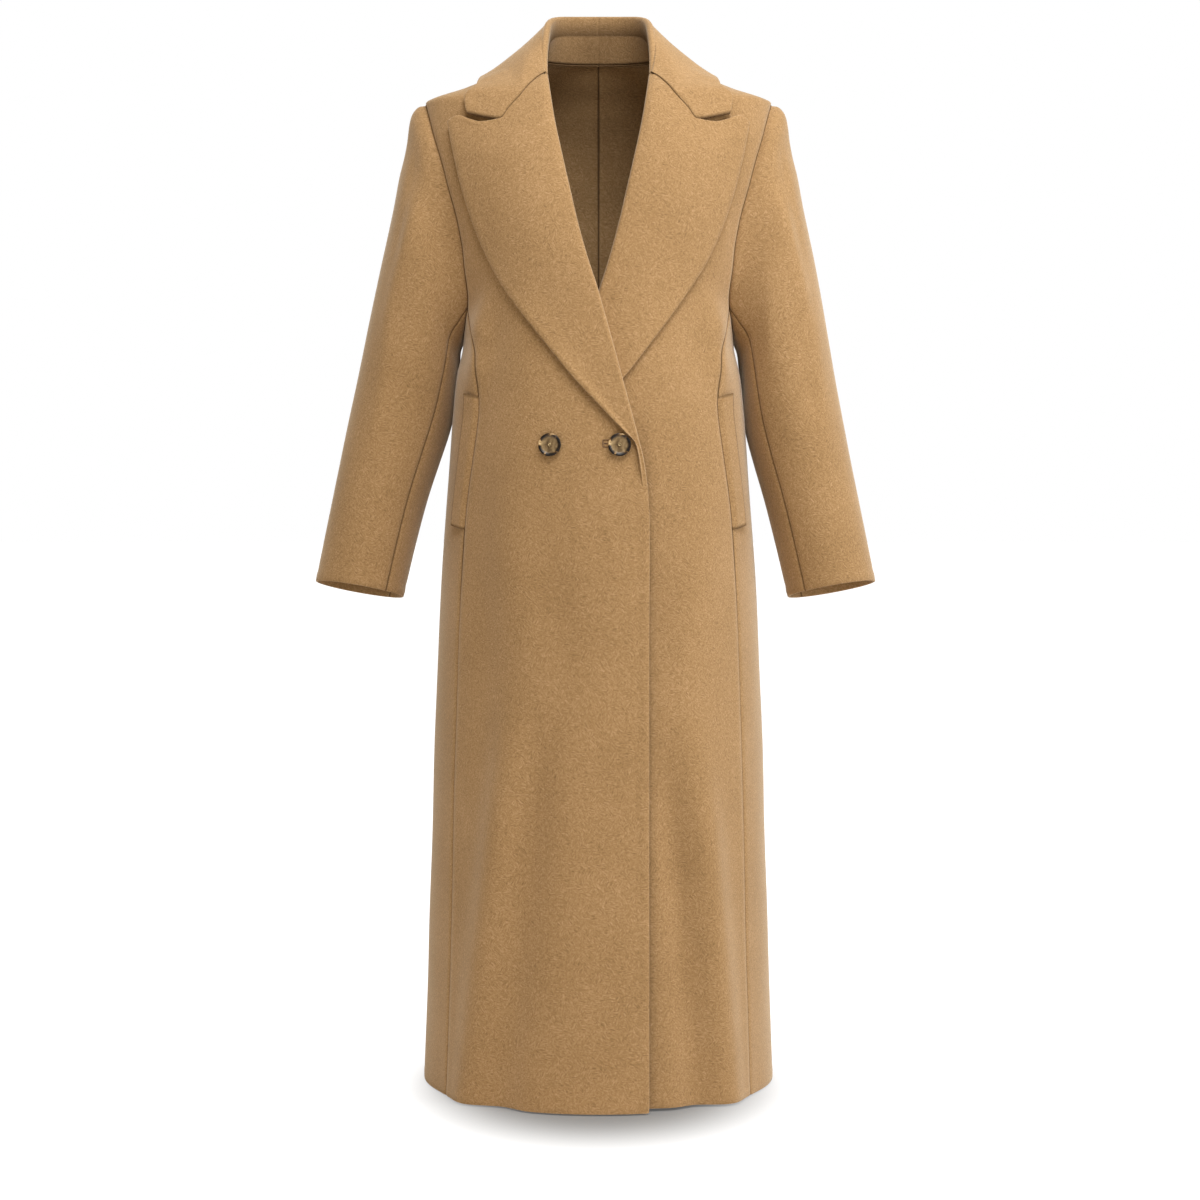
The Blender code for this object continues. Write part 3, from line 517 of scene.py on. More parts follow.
# The solids' main folds, then the softer creases of the cloth. A fold runs from its top to its
# low end and stands out, or sinks, by its height; where fade is 1 it also dies away below.
mainFolds = (
    ("side", "face", "top_u", "top_z", "low_u", "low_z", "height", "spread", "fade"),
    (
        (0, -1, 0.124, -0.262, 0.148, -0.430, 0.0085, 0.014, 1),
        (-1, -1, 0.090, -0.700, 0.152, -1.230, 0.0130, 0.021, 0),
        (1, -1, 0.108, -0.740, 0.150, -1.230, 0.0135, 0.020, 0),
        (0, 1, 0.052, -0.640, 0.092, -1.230, 0.0095, 0.032, 0),
        (0, 1, 0.128, -0.760, 0.158, -1.230, 0.0060, 0.024, 0),
        (-1, 1, 0.070, -0.180, 0.120, -0.420, 0.0040, 0.022, 1),
        (1, 1, 0.060, -0.200, 0.112, -0.460, 0.0045, 0.024, 1),
    ),
)
softCreases = (
    ("side", "face", "top_u", "top_z", "low_u", "low_z", "height", "spread", "fade"),
    (
        (-1, -1, 0.056, -0.740, 0.108, -1.230, -0.0032, 0.019, 0),
        (1, -1, 0.074, -0.760, 0.112, -1.230, -0.0034, 0.017, 0),
        (0, 1, 0.024, -0.700, 0.046, -1.230, -0.0030, 0.020, 0),
        (-1, -1, 0.112, -0.430, 0.092, -0.760, 0.0016, 0.022, 1),
        (-1, -1, 0.060, -0.500, 0.020, -0.900, -0.0014, 0.026, 1),
        (-1, -1, 0.020, -0.620, 0.050, -1.150, 0.0015, 0.030, 1),
        (-1, -1, 0.130, -0.560, 0.128, -0.900, -0.0012, 0.018, 1),
        (1, -1, 0.086, -0.440, 0.070, -0.800, -0.0015, 0.024, 1),
        (1, -1, 0.128, -0.480, 0.112, -0.840, 0.0013, 0.020, 1),
        (1, -1, 0.040, -0.640, 0.072, -1.160, 0.0017, 0.028, 1),
        (1, -1, 0.012, -0.560, 0.030, -0.980, -0.0012, 0.020, 1),
        (0, -1, 0.176, -0.150, 0.160, -0.270, -0.0016, 0.014, 1),
        (0, -1, 0.150, -0.300, 0.120, -0.352, 0.0010, 0.010, 1),
        (-1, 1, 0.140, -0.250, 0.090, -0.400, -0.0030, 0.018, 1),
        (1, 1, 0.136, -0.230, 0.084, -0.380, -0.0028, 0.020, 1),
        (0, 1, 0.150, -0.120, 0.060, -0.200, 0.0018, 0.026, 1),
        (-1, 1, 0.030, -0.440, 0.062, -0.820, 0.0018, 0.024, 1),
        (1, 1, 0.040, -0.500, 0.076, -0.880, 0.0016, 0.026, 1),
        (0, 1, 0.118, -0.520, 0.124, -0.900, -0.0018, 0.022, 1),
    ),
)

# Soft folds of the sleeves: turn in degrees (0 outside, 90 in front), how far each swings by
# its low end, where it starts and ends along the sleeve, and its height and spread.
sleeveFolds = (
    ("side", "turn", "swing", "start", "end", "height", "spread"),
    (
        (0, 66, -14, 0.02, 0.60, 3.0, 10),
        (0, 38, 10, 0.02, 0.42, -1.3, 10),
        (0, 12, -8, 0.00, 0.30, 1.2, 10),
        (-1, 52, 26, 0.42, 0.86, 1.5, 12),
        (-1, 92, -22, 0.50, 0.92, -1.6, 11),
        (1, 40, 30, 0.46, 0.90, 1.4, 12),
        (1, 86, -26, 0.40, 0.80, -1.5, 12),
        (0, 100, 12, 0.22, 0.56, 1.6, 10),
        (0, -60, 16, 0.05, 0.62, 1.8, 13),
        (0, -92, -20, 0.24, 0.74, -1.8, 12),
        (-1, -40, -18, 0.44, 0.90, 1.5, 13),
        (1, -48, -12, 0.50, 0.94, 1.3, 12),
        (0, 168, 8, 0.26, 0.60, -1.6, 12),
        (0, 200, -10, 0.40, 0.80, 1.2, 14),
    ),
)


def readColumn(table, name, key):
    # One named column at the given keys, on a smooth curve that doesn't overshoot its rows.
    names, rows = table
    data = np.array(rows, dtype=float)
    knots = data[:, 0]
    values = data[:, names.index(name)]
    key = np.clip(key, knots[0], knots[-1])
    steps = np.diff(knots)
    slopes = np.diff(values) / steps
    before, after = slopes[:-1], slopes[1:]
    sameWay = before * after > 0
    total = np.where(sameWay, before + after, 1.0)
    inner = np.where(sameWay, 2 * before * after / total, 0.0)
    tangents = np.concatenate(([slopes[0]], inner, [slopes[-1]]))
    place = np.clip(np.searchsorted(knots, key, side="right") - 1, 0, len(steps) - 1)
    step = steps[place]
    t = (key - knots[place]) / step
    start = (1 + 2 * t) * (1 - t) ** 2 * values[place]
    leave = t * (1 - t) ** 2 * step * tangents[place]
    end = t * t * (3 - 2 * t) * values[place + 1]
    arrive = t * t * (t - 1) * step * tangents[place + 1]
    return start + leave + end + arrive


def readColumns(table, names, key):
    return stack(*(readColumn(table, name, key) for name in names))


def rowsOf(table, side):
    # The rows of a table of folds that lie on one side, each as a dictionary.
    names, rows = table
    folds = [dict(zip(names, row)) for row in rows]
    return [fold for fold in folds if fold["side"] in (0, side)]


def ease(t):
    t = np.clip(t, 0.0, 1.0)
    return t * t * (3 - 2 * t)


def between(value, span):
    # 0 at the first value of the span and before it, 1 at the second, smooth between them.
    zero, one = span
    return ease((value - zero) / (one - zero))


def unit(vectors):
    return vectors / np.linalg.norm(vectors, axis=-1, keepdims=True)


def stack(*axes):
    return np.stack(np.broadcast_arrays(*axes), axis=-1)


def angleAt(u, z):
    # The angle round the body of a point at distance u from the centre, on the front.
    ratio = np.clip(np.abs(u) / readColumn(bodySizes, "width", z), 0.0, 1.0)
    return np.sign(u) * np.arcsin(ratio ** (readColumn(bodySizes, "square", z) / 2))


def foldHeight(table, side, u, z, facing):
    total = np.zeros(np.broadcast(u, z).shape)
    for fold in rowsOf(table, side):
        along = (fold["top_z"] - z) / (fold["top_z"] - fold["low_z"])
        centre = fold["top_u"] + (fold["low_u"] - fold["top_u"]) * along
        ramp = ease(along / drape["foldRamp"])
        if fold["fade"]:
            ramp = ramp * ease((1 - along) / drape["foldRamp"])
        across = np.exp(-(((u - centre) / fold["spread"]) ** 2))
        faced = ease(fold["face"] * facing / drape["foldFacing"])
        total = total + fold["height"] * across * ramp * faced
    return total


def unevenness(side, angle, z):
    # Wide, low waves that keep the cloth from looking machined. Their rates are per radian round
    # the body and per metre of height.
    phase = 1.7 * side
    waves = np.sin(5.1 * angle + 9.0 * z + phase) * np.sin(19.8 * z + 2 * angle + phase)
    waves = waves + 0.6 * np.sin(11.3 * angle - 14 * z + 2.1 * phase) * np.sin(23 * z + 0.7)
    return drape["waveHeight"] * waves


def overHeight(side, u, z, facing):
    # The right front lies over the left one, so it stands out where they overlap.
    if side > 0:
        beside = 1 - ease((u - overlap["edge"]) / overlap["sinkWidth"])
        return overlap["underSink"] * beside * between(z, overlap["sinkHeights"]) * (facing < 0)
    rise = between(z, overlap["liftHeights"])
    lift = overlap["liftHem"] + (overlap["liftChest"] - overlap["liftHem"]) * rise
    across = between(u, overlap["liftReach"])
    return lift * across * between(z, overlap["liftTop"]) * (facing < 0)


def body(side, angle, z, lift=0.0):
    # A point of the coat's outer face, moved out by lift, and the direction out of the cloth.
    sine, cosine = np.sin(angle), np.cos(angle)
    width, square = readColumn(bodySizes, "width", z), readColumn(bodySizes, "square", z)
    middle = readColumn(bodySizes, "middle", z)
    step = 1.0 * mm

    def depthAt(height):
        front, back = (readColumn(bodySizes, name, height) for name in ("front", "back"))
        return np.where(cosine >= 0, front, back)

    def slope(name):
        above, below = (readColumn(bodySizes, name, z + d) for d in (step, -step))
        return (above - below) / (2 * step)

    depth = depthAt(z)
    depthSlope = (depthAt(z + step) - depthAt(z - step)) / (2 * step)
    u = width * np.sign(sine) * np.abs(sine) ** (2 / square)
    y = -np.sign(cosine) * depth * np.abs(cosine) ** (2 / square)
    shareU, shareY = np.abs(u) / width, np.abs(y) / depth
    outU = np.sign(u) * shareU ** (square - 1) / width
    outY = np.sign(y) * shareY ** (square - 1) / depth
    outZ = -(shareU**square * slope("width") / width + shareY**square * depthSlope / depth)
    outZ = outZ - outY * slope("middle")
    out = unit(stack(outU, outY, outZ))
    facing = y / depth
    calm = between(z, drape["calmNeck"]) * between(z, drape["calmHem"])
    lift = lift + foldHeight(mainFolds, side, u, z, facing) + overHeight(side, u, z, facing)
    lift = lift + unevenness(side, angle, z) * calm
    lift = lift + drape["creaseGain"] * foldHeight(softCreases, side, u, z, facing)
    lift = np.asarray(lift)[..., None]
    return stack(u, middle + y, z) + out * lift, out


def mirrored(side, points):
    return points * np.array([side, 1.0, 1.0])


edgeLook = {
    "seamInset": 0.65 * mm,     # each panel's edge stops here, and its round rim meets the next
    "seamDip": 0.8 * mm,        # the cloth sinks into a pressed seam
    "seamWidth": 2.2 * mm,
    "seamSwell": 0.25 * mm,     # and swells a little beside it
    "seamSwellPlace": 7.0 * mm,
    "seamSwellWidth": 4.0 * mm,
    "freePuff": 0.6 * mm,       # a turned-in edge is a little fuller just inside it
    "freePuffPlace": 5.0 * mm,
    "freePuffWidth": 3.6 * mm,
    "freeGroove": 0.45 * mm,    # where the seam allowance inside the edge ends
    "freeGroovePlace": 11.0 * mm,
    "freeGrooveWidth": 2.6 * mm,
    "pressedHeights": (-0.58, -0.68),   # the side front seams hardly show in the skirt
    "pressedFade": 0.65,
    "shadeWidth": 1.0 * mm,     # how far the painted shade of a seam reaches
    "fineShares": (0.18, 0.40, 0.68),   # extra rows or columns in the cell beside a seam
    "pullLimit": 0.6,           # of the gap to the next row, which a pulled-in edge keeps to
    "mitreLeast": 0.6,          # keeps the mitre at a sharp seam from growing long
    "rimRound": 0.9,            # how far a rim bulges, as a share of half the wall
}


def edgeDistances(points):
    # How far each point of a grid is from its first and last column and its low and top row.
    def along(axis):
        step = np.linalg.norm(np.diff(points, axis=axis), axis=-1)
        zero = np.zeros_like(np.take(step, [0], axis=axis))
        run = np.concatenate((zero, np.cumsum(step, axis=axis)), axis=axis)
        return run, np.take(run, [-1], axis=axis) - run

    first, last = along(1)
    low, top = along(0)
    return {"first": first, "last": last, "low": low, "top": top}


def edgeRelief(points, edges):
    # Dips at sewn edges and slight fullness at turned-in ones. edges: name to seam or free.
    away = edgeDistances(points)
    relief = np.zeros(points.shape[:2])
    for edge, kind in edges.items():
        distance = away[edge]
        if kind == "seam":
            relief -= edgeLook["seamDip"] * np.exp(-((distance / edgeLook["seamWidth"]) ** 2))
            place = (distance - edgeLook["seamSwellPlace"]) / edgeLook["seamSwellWidth"]
            relief += edgeLook["seamSwell"] * np.exp(-(place**2))
        elif kind == "free":
            place = (distance - edgeLook["freePuffPlace"]) / edgeLook["freePuffWidth"]
            relief += edgeLook["freePuff"] * np.exp(-(place**2))
            place = (distance - edgeLook["freeGroovePlace"]) / edgeLook["freeGrooveWidth"]
            relief -= edgeLook["freeGroove"] * np.exp(-(place**2))
    return relief


def seamShade(points, edges, reach=edgeLook["shadeWidth"]):
    # 1 along a seam and 0 away from it: the amount of painted shade that darkens the cloth down
    #                                    there.
    away = edgeDistances(points)
    shade = np.zeros(points.shape[:2])
    for edge, kind in edges.items():
        if kind == "seam":
            shade = np.maximum(shade, np.exp(-((away[edge] / reach) ** 2)))
    return shade


def fineIndex(count, atStart, atEnd):
    # Places along count rows or columns, with extra ones in the first and last cell.
    extra = np.array(edgeLook["fineShares"])
    parts = [np.arange(count, dtype=float)]
    if atStart:
        parts.append(extra)
    if atEnd:
        parts.append(count - 1 - extra)
    return np.sort(np.concatenate(parts))


def resample(grid2d, rowsAt, columnsAt):
    # A grid of numbers read at fractional rows and columns.
    rowLow = np.minimum(rowsAt.astype(int), grid2d.shape[0] - 2)
    columnLow = np.minimum(columnsAt.astype(int), grid2d.shape[1] - 2)
    rowShare = (rowsAt - rowLow)[:, None]
    columnShare = columnsAt - columnLow
    rows = grid2d[rowLow] * (1 - rowShare) + grid2d[rowLow + 1] * rowShare
    return rows[:, columnLow] * (1 - columnShare) + rows[:, columnLow + 1] * columnShare


def refined(grids, edges):
    # The same grids with finer rows and columns beside the sewn edges.
    rows, columns = grids[0].shape
    sewn = {edge: edges.get(edge) == "seam" for edge in ("low", "top", "first", "last")}
    rowsAt = fineIndex(rows, sewn["low"], sewn["top"])
    columnsAt = fineIndex(columns, sewn["first"], sewn["last"])
    return [resample(each, rowsAt, columnsAt) for each in grids], rowsAt, columnsAt


def pullIn(face, back, edges, room):
    # Draws chosen edges of a shell's face and back in from where they would end.
    face, back = face.copy(), back.copy()
    places = {
        "low": ((0,), (1,)),
        "top": ((-1,), (-2,)),
        "first": ((slice(None), 0), (slice(None), 1)),
        "last": ((slice(None), -1), (slice(None), -2)),
    }
    for edge in edges:
        line, inner = places[edge]
        gap = face[inner] - face[line]
        length = np.linalg.norm(gap, axis=-1, keepdims=True)
        shift = gap / length * np.minimum(room, edgeLook["pullLimit"] * length)
        face[line] += shift
        back[line] += shift
    return face, back


def shell(name, face, back, looks):
    # A closed wall of cloth with a rounded rim, with UVs in metres along the cloth.
    rows, columns = face.shape[:2]
    outline = [(0, j) for j in range(columns)]
    outline += [(i, columns - 1) for i in range(1, rows)]
    outline += [(rows - 1, j) for j in range(columns - 2, -1, -1)]
    outline += [(i, 0) for i in range(rows - 2, 0, -1)]
    count = rows * columns
    inner = [(min(max(i, 1), rows - 2), min(max(j, 1), columns - 2)) for i, j in outline]
    rimI, rimJ = np.array(outline).T
    inI, inJ = np.array(inner).T
    away = unit(face[rimI, rimJ] - face[inI, inJ])
    across = (face[rimI, rimJ] - back[rimI, rimJ]) / 2
    middle = (face[rimI, rimJ] + back[rimI, rimJ]) / 2
    away = away - unit(across) * np.sum(away * unit(across), axis=-1, keepdims=True)
    away = unit(away) * np.linalg.norm(across, axis=-1, keepdims=True) * edgeLook["rimRound"]
    rims = []
    for step in range(1, grid["rimSteps"] + 1):
        turn = math.pi * step / (grid["rimSteps"] + 1)
        rims.append(middle + across * math.cos(turn) + away * math.sin(turn))
    points = np.concatenate((face.reshape(-1, 3), back.reshape(-1, 3), *rims))

    index = np.arange(count).reshape(rows, columns)
    quads = np.stack((index[:-1, :-1], index[:-1, 1:], index[1:, 1:], index[1:, :-1]), axis=-1)
    quads = quads.reshape(-1, 4)
    faceRing = index[rimI, rimJ]
    rings = [faceRing]
    rings += [2 * count + len(outline) * k + np.arange(len(outline)) for k in range(len(rims))]
    rings += [faceRing + count]
    sides = []
    for here, after in zip(rings, rings[1:]):
        sides.append(np.stack((here, after, np.roll(after, -1), np.roll(here, -1)), axis=-1))
    faces = np.concatenate((quads, quads[:, ::-1] + count, *sides))

    run = edgeDistances(face)
    flat = np.stack((run["first"], run["low"]), axis=-1).reshape(-1, 2)
    rimFlat = flat[faceRing]
    flat = np.concatenate((flat, flat, *([rimFlat] * len(rims))))

    mesh = bpy.data.meshes.new(name)
    mesh.from_pydata(points.tolist(), [], faces.tolist())
    # The painted shade of each point, kept as the seamShade attribute for the wool.
    shade = looks.get("shade", np.zeros((rows, columns)))
    shade = np.concatenate((shade.ravel(), shade.ravel(), *([shade[rimI, rimJ]] * len(rims))))
    mesh.attributes.new("seamShade", "FLOAT", "POINT").data.foreach_set("value", shade)
    layer = mesh.uv_layers.new(name="cloth")
    corners = np.zeros(len(mesh.loops), dtype=np.int32)
    mesh.loops.foreach_get("vertex_index", corners)
    layer.data.foreach_set("uv", flat[corners].astype(np.float32).ravel())
    mesh.shade_smooth()
    piece = bpy.data.objects.new(name, mesh)
    bpy.context.collection.objects.link(piece)
    if signedVolume(points, faces) < 0:
        mesh.flip_normals()
    return piece


def signedVolume(points, faces):
    a, b, c, d = (points[faces[:, k]] for k in range(4))
    first = np.sum(a * np.cross(b, c), axis=-1)
    return float(np.sum(first + np.sum(a * np.cross(c, d), axis=-1)))


def garmentPiece(name, side, face, back, looks):
    # Dresses one node: the shell rides on the body and replaces its solid.
    node = f"{name}_{'left' if side > 0 else 'right'}"
    piece = shell(f"{node}_cloth", mirrored(side, face), mirrored(side, back), looks)
    piece.data.materials.append(looks["material"])
    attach(piece, "root")
    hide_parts(node)
    width, length = looks["flat"]


woolLook = {
    "tones": ((0.31, "#836643"), (0.50, "#a28055"), (0.69, "#bd9a72")),
    "seam": "#3f2c18",       # painted shade: the colour the cloth darkens to in seams and other shaded places
    "paintedShadeStrength": 0.75,
    "fibreWidth": 1.3,       # mm: the nap's locks, drawn a little coarse so that they show
    "fibreLength": 4.2,      # mm
    "napLean": (-42, 28, -84),   # degrees: the directions that the nap lies in, by patches
    "swirl": 11.0,           # mm: how far the nap keeps one direction
    "firstPatches": (0.44, 0.56),    # where the second direction takes over from the first
    "lastPatches": (0.48, 0.60),     # and the third from both
    "grain": 1.3,            # the finest grain, finer than a lock's width by this much
    "grainShare": 0.30,      # of the tone, and the nap has the rest
    "cloud": 85.0,           # mm: broad tone changes from brushing and pressing
    "cloudShare": 0.14,
    "roughness": 0.9,
    "specular": 0.25,
    "sheen": 0.5,
    "sheenRoughness": 0.45,
    "sheenTint": "#fff4e2",
    "bumpDepth": 0.6,        # mm
    "bumpStrength": 0.8,
}


def wool():
    # Brushed wool coating, woven then milled and raised: a dense short nap, soft and matt.
    made, tree = emptyMaterial("brushedWoolCoating")
    place = objectPlace(tree)
    perLength, perWidth = 1000 / woolLook["fibreLength"], 1000 / woolLook["fibreWidth"]

    def nap(degrees):
        # Locks of fibre that lie along one direction of the front view.
        turned = addNode(tree, "ShaderNodeMapping", {"vector_type": "TEXTURE"}, Vector=place,
                         Rotation=(0, math.radians(degrees), 0),
                         Scale=(1 / perWidth, 1 / perWidth, 1 / perLength))
        return noise(tree, turned.outputs["Vector"], 1.0, 1.5, distortion=0.6)

    def patched(where, span, a, b):
        # Patches of b in a.
        share = smoothStep(tree, noise(tree, where, 1000 / woolLook["swirl"], 1.0), span)
        return addNode(tree, "ShaderNodeMix", {"data_type": "FLOAT"}, s0=share, s2=a,
                       s3=b).outputs[0]

    elsewhere = addNode(tree, "ShaderNodeMapping", Vector=place, Location=(3.1, 7.7, 5.2))
    first, second, third = woolLook["napLean"]
    strokes = patched(place, woolLook["firstPatches"], nap(first), nap(second))
    strokes = patched(elsewhere.outputs["Vector"], woolLook["lastPatches"], strokes, nap(third))
    grain = noise(tree, place, perWidth * woolLook["grain"], 2.0, distortion=0.8)
    tone = weighted(tree, grain, strokes, woolLook["grainShare"])
    cloud = noise(tree, place, 1000 / woolLook["cloud"], 3.0, roughness=0.6)
    brushed = colourRamp(tree, weighted(tree, cloud, tone, woolLook["cloudShare"]),
                         woolLook["tones"])
    # Painted shade: the seamShade attribute darkens the cloth towards the seam colour and takes
    # its sheen away.
    paintedShadeAmount = addNode(tree, "ShaderNodeAttribute", {"attribute_name": "seamShade"}).outputs["Fac"]
    depth = mathNode(tree, "MULTIPLY", paintedShadeAmount, woolLook["paintedShadeStrength"])
    sheen = mathNode(tree, "MULTIPLY", mathNode(tree, "SUBTRACT", 1.0, paintedShadeAmount),
                     woolLook["sheen"])
    bump = addNode(tree, "ShaderNodeBump", Height=tone, Strength=woolLook["bumpStrength"],
                   Distance=woolLook["bumpDepth"] * mm)
    shader = addNode(tree, "ShaderNodeBsdfPrincipled",
                     Base_Color=colourMix(tree, depth, brushed, woolLook["seam"]),
                     Roughness=woolLook["roughness"], Metallic=0.0, IOR=1.5,
                     Specular_IOR_Level=woolLook["specular"],
                     Sheen_Weight=sheen, Sheen_Roughness=woolLook["sheenRoughness"],
                     Sheen_Tint=woolLook["sheenTint"], Normal=bump.outputs["Normal"])
    addNode(tree, "ShaderNodeOutputMaterial", Surface=shader.outputs[0])
    return made


woolCloth = wool()
print("wool made")


bodyPieces = {
    # the cut of what shows: width and length in metres, and the area in square metres
    "front": {"flat": (0.275, 1.235), "area": 0.272},
    "side": {"flat": (0.220, 0.945), "area": 0.174},
    "back": {"flat": (0.245, 1.240), "area": 0.232},
}


def armhole(turn):
    # The armhole seam: turn is 0 at the shoulder point, 90 in front and 180 at the armpit.
    reach = np.where(np.sin(turn) >= 0, cut["armReachFront"], cut["armReachBack"])
    angle = math.pi / 2 - reach * np.sin(turn)
    middle, half = (cut["shoulder"] + cut["armpit"]) / 2, (cut["shoulder"] - cut["armpit"]) / 2
    return angle, middle + half * np.cos(turn)


def sleeve(side, part, turn):
    # A point on the sleeve's outer face. Near the armhole it follows the armhole's own line.
    seam, _ = body(side, *armhole(turn))

    def guide(line, at):
        u, z = (readColumn(sleeveSizes, f"{line}_{axis}", at) for axis in "uz")
        return stack(u, 0.0, z)

    upper = (0.5 + 0.5 * np.cos(turn))[..., None]
    outer, inner = guide("outer", part), guide("inner", part)
    lean = between(part, sleeveShape["leanStart"]) * between(part, sleeveShape["leanEnd"])
    inner[..., 0] -= sleeveLean[side] * lean
    for line in (outer, inner):
        line[..., 0] -= cuffLean[side] * between(part, sleeveShape["cuffLean"])
    start = np.zeros_like(part)
    drift = upper * (outer - guide("outer", start)) + (1 - upper) * (inner - guide("inner", start))
    depth = -readColumn(sleeveSizes, "depth", part) * np.sin(turn)
    ring = upper * outer + (1 - upper) * inner
    ring[..., 1] += readColumn(sleeveSizes, "middle", part) + depth
    ring[..., 2] -= cuffTilt * depth * between(part, sleeveShape["cuffTilt"])
    own = between(part, sleeveShape["ownShape"])[..., None]
    return (seam + drift) * (1 - own) + ring * own


def sleeveOut(side, part, turn):
    step = 0.004
    low, high = np.clip(part - step, 0, 1), np.clip(part + step, 0, 1)
    along = sleeve(side, high, turn) - sleeve(side, low, turn)
    around = sleeve(side, part, turn + step) - sleeve(side, part, turn - step)
    return unit(np.cross(around, along))


def armholeSeam(side, turn):
    # Face and back of the cloth on the armhole seam, shared by body and sleeve as a mitre.
    point, out = body(side, *armhole(turn))
    lean = unit(out + sleeveOut(side, np.zeros_like(turn), turn))
    reach = np.sum(lean * out, axis=-1, keepdims=True)
    reach = 1 / np.clip(reach, edgeLook["mitreLeast"], 1.0)
    return point, point - lean * cut["cloth"] * reach


def seamAngle(seam, z):
    return np.radians(readColumn(sideSeams, seam, z))


def neckPlace(part):
    # Angle and height of the neck seam.
    return np.radians(readColumn(neckLine, "angle", part)), readColumn(neckLine, "height", part)


def spread(first, last, across):
    # Each row's values from its first column to its last.
    return first[:, None] * (1 - across) + last[:, None] * across


def middleRows(top):
    share = np.linspace(0, 1, grid["middleRows"] + 1) ** grid["middleCrowding"]
    return cut["break"] + (top - cut["break"]) * share


def rowsTo(top):
    low = np.linspace(cut["hem"], cut["break"], grid["lowRows"] + 1)
    return np.concatenate((low, middleRows(top)[1:]))


def rollRows():
    _, join = armhole(np.array(cut["frontJoin"]))
    share = np.linspace(1, 0, grid["rollRows"] + 1) ** grid["rollCrowding"]
    upper = cut["gorge"] + (join - cut["gorge"]) * share
    return np.concatenate((middleRows(join), upper[1:]))


def panel(name, side, angle, z, onArmhole, edges, looks):
    # onArmhole: the edge that lies on the armhole, its first row there and its turns.
    (angle, z), rowsAt, columnsAt = refined((angle, z), edges)
    face, out = body(side, angle, z)
    face = face + out * edgeRelief(face, edges)[..., None]
    back = face - out * cut["cloth"]
    edge, start, turn = onArmhole
    if edge == "top":
        line, at, known = (-1, slice(None)), columnsAt, np.arange(len(turn))
    else:
        line = (slice(int(np.sum(rowsAt < start)), None), 0 if edge == "first" else -1)
        at, known = rowsAt[rowsAt >= start], np.arange(start, start + len(turn))
    face[line], back[line] = armholeSeam(side, np.interp(at, known, turn))
    sewn = [edge for edge, kind in edges.items() if kind == "seam"]
    shade = seamShade(face, edges)
    if name != "back":
        lower = between(face[..., 2], edgeLook["pressedHeights"])
        shade = shade * (1 - edgeLook["pressedFade"] * lower)
    # Painted shade on the under front beside the over front's edge, where that edge would shade
    # it.
    if name == "front" and side > 0:
        beside = np.maximum(face[..., 0] - overlap["edge"], 0) / overlap["shadeWidth"]
        below = between(face[..., 2], overlap["shadeHeights"])
        shade = np.maximum(shade, overlap["shade"] * np.exp(-(beside**2)) * below)
    face, back = pullIn(face, back, sewn, edgeLook["seamInset"])
    looks = {**looks, "material": woolCloth, "shade": shade}
    garmentPiece(name, side, face, back, looks)


def lapelPlace(part, across):
    # A lapel's point in the front view: part runs up the roll line, across out to the edge.
    height = cut["break"] + (cut["gorge"] - cut["break"]) * part

    def line(table, key):
        return readColumns(table, ("u", "height"), key)

    roll = stack(readColumn(rollLine, "u", height), height)
    top = line(lapelTop, across)
    rollTop, edgeTop = line(lapelTop, 0.0), line(lapelTop, 1.0)
    across = np.asarray(across)[..., None]
    straight = (1 - across) * rollTop + across * edgeTop
    bend = (np.asarray(part)[..., None]) ** 3
    return (1 - across) * roll + across * line(lapelEdge, part) + bend * (top - straight)


def lapelWidth(part):
    start = lapelPlace(part, np.zeros_like(part))
    return np.linalg.norm(lapelPlace(part, np.ones_like(part)) - start, axis=-1)


def foldScale(part):
    return np.clip(lapelWidth(part) / rollFold["fullWidth"], rollFold["least"], 1.0)


def rollPart(z):
    # How far up the roll line a height is: 0 at the break and 1 at the gorge.
    return (z - cut["break"]) / (cut["gorge"] - cut["break"])


def edgeInset(z):
    # How far the front's own edge lies back from the roll line's nose, from the break upwards.
    part = np.clip(rollPart(z), 0, 1)
    return np.where(z > cut["break"] - 0.001 * mm, rollFold["frontInset"] * foldScale(part), 0.0)


def front(side):
    _, join = armhole(np.array(cut["frontJoin"]))
    low = rowsTo(float(join))
    topRows = grid["rollRows"] + grid["neckRows"]
    turn = np.linspace(cut["frontJoin"], 0, topRows + 1)[1:]
    armAngle, armZ = armhole(turn)
    outerAngle = np.concatenate((seamAngle("front", low), armAngle))
    outerZ = np.concatenate((low, armZ))
    innerZ = np.concatenate((low, rollRows()[grid["middleRows"] + 1 :]))
    innerAngle = angleAt(readColumn(rollLine, "u", innerZ) + edgeInset(innerZ), innerZ)
    neckAngle, neckZ = neckPlace(np.linspace(1, cut["neckPoint"], grid["neckRows"] + 1)[1:])
    innerAngle = np.concatenate((innerAngle, neckAngle))
    innerZ = np.concatenate((innerZ, neckZ))
    if side > 0:
        innerZ[0] += cut["underShorter"]
    across = np.linspace(0, 1, grid["frontColumns"] + 1)
    angle, z = spread(outerAngle, innerAngle, across), spread(outerZ, innerZ, across)
    edges = {"first": "seam", "top": "seam", "last": "free", "low": "free"}
    panel("front", side, angle, z, ("first", len(low), turn), edges, bodyPieces["front"])


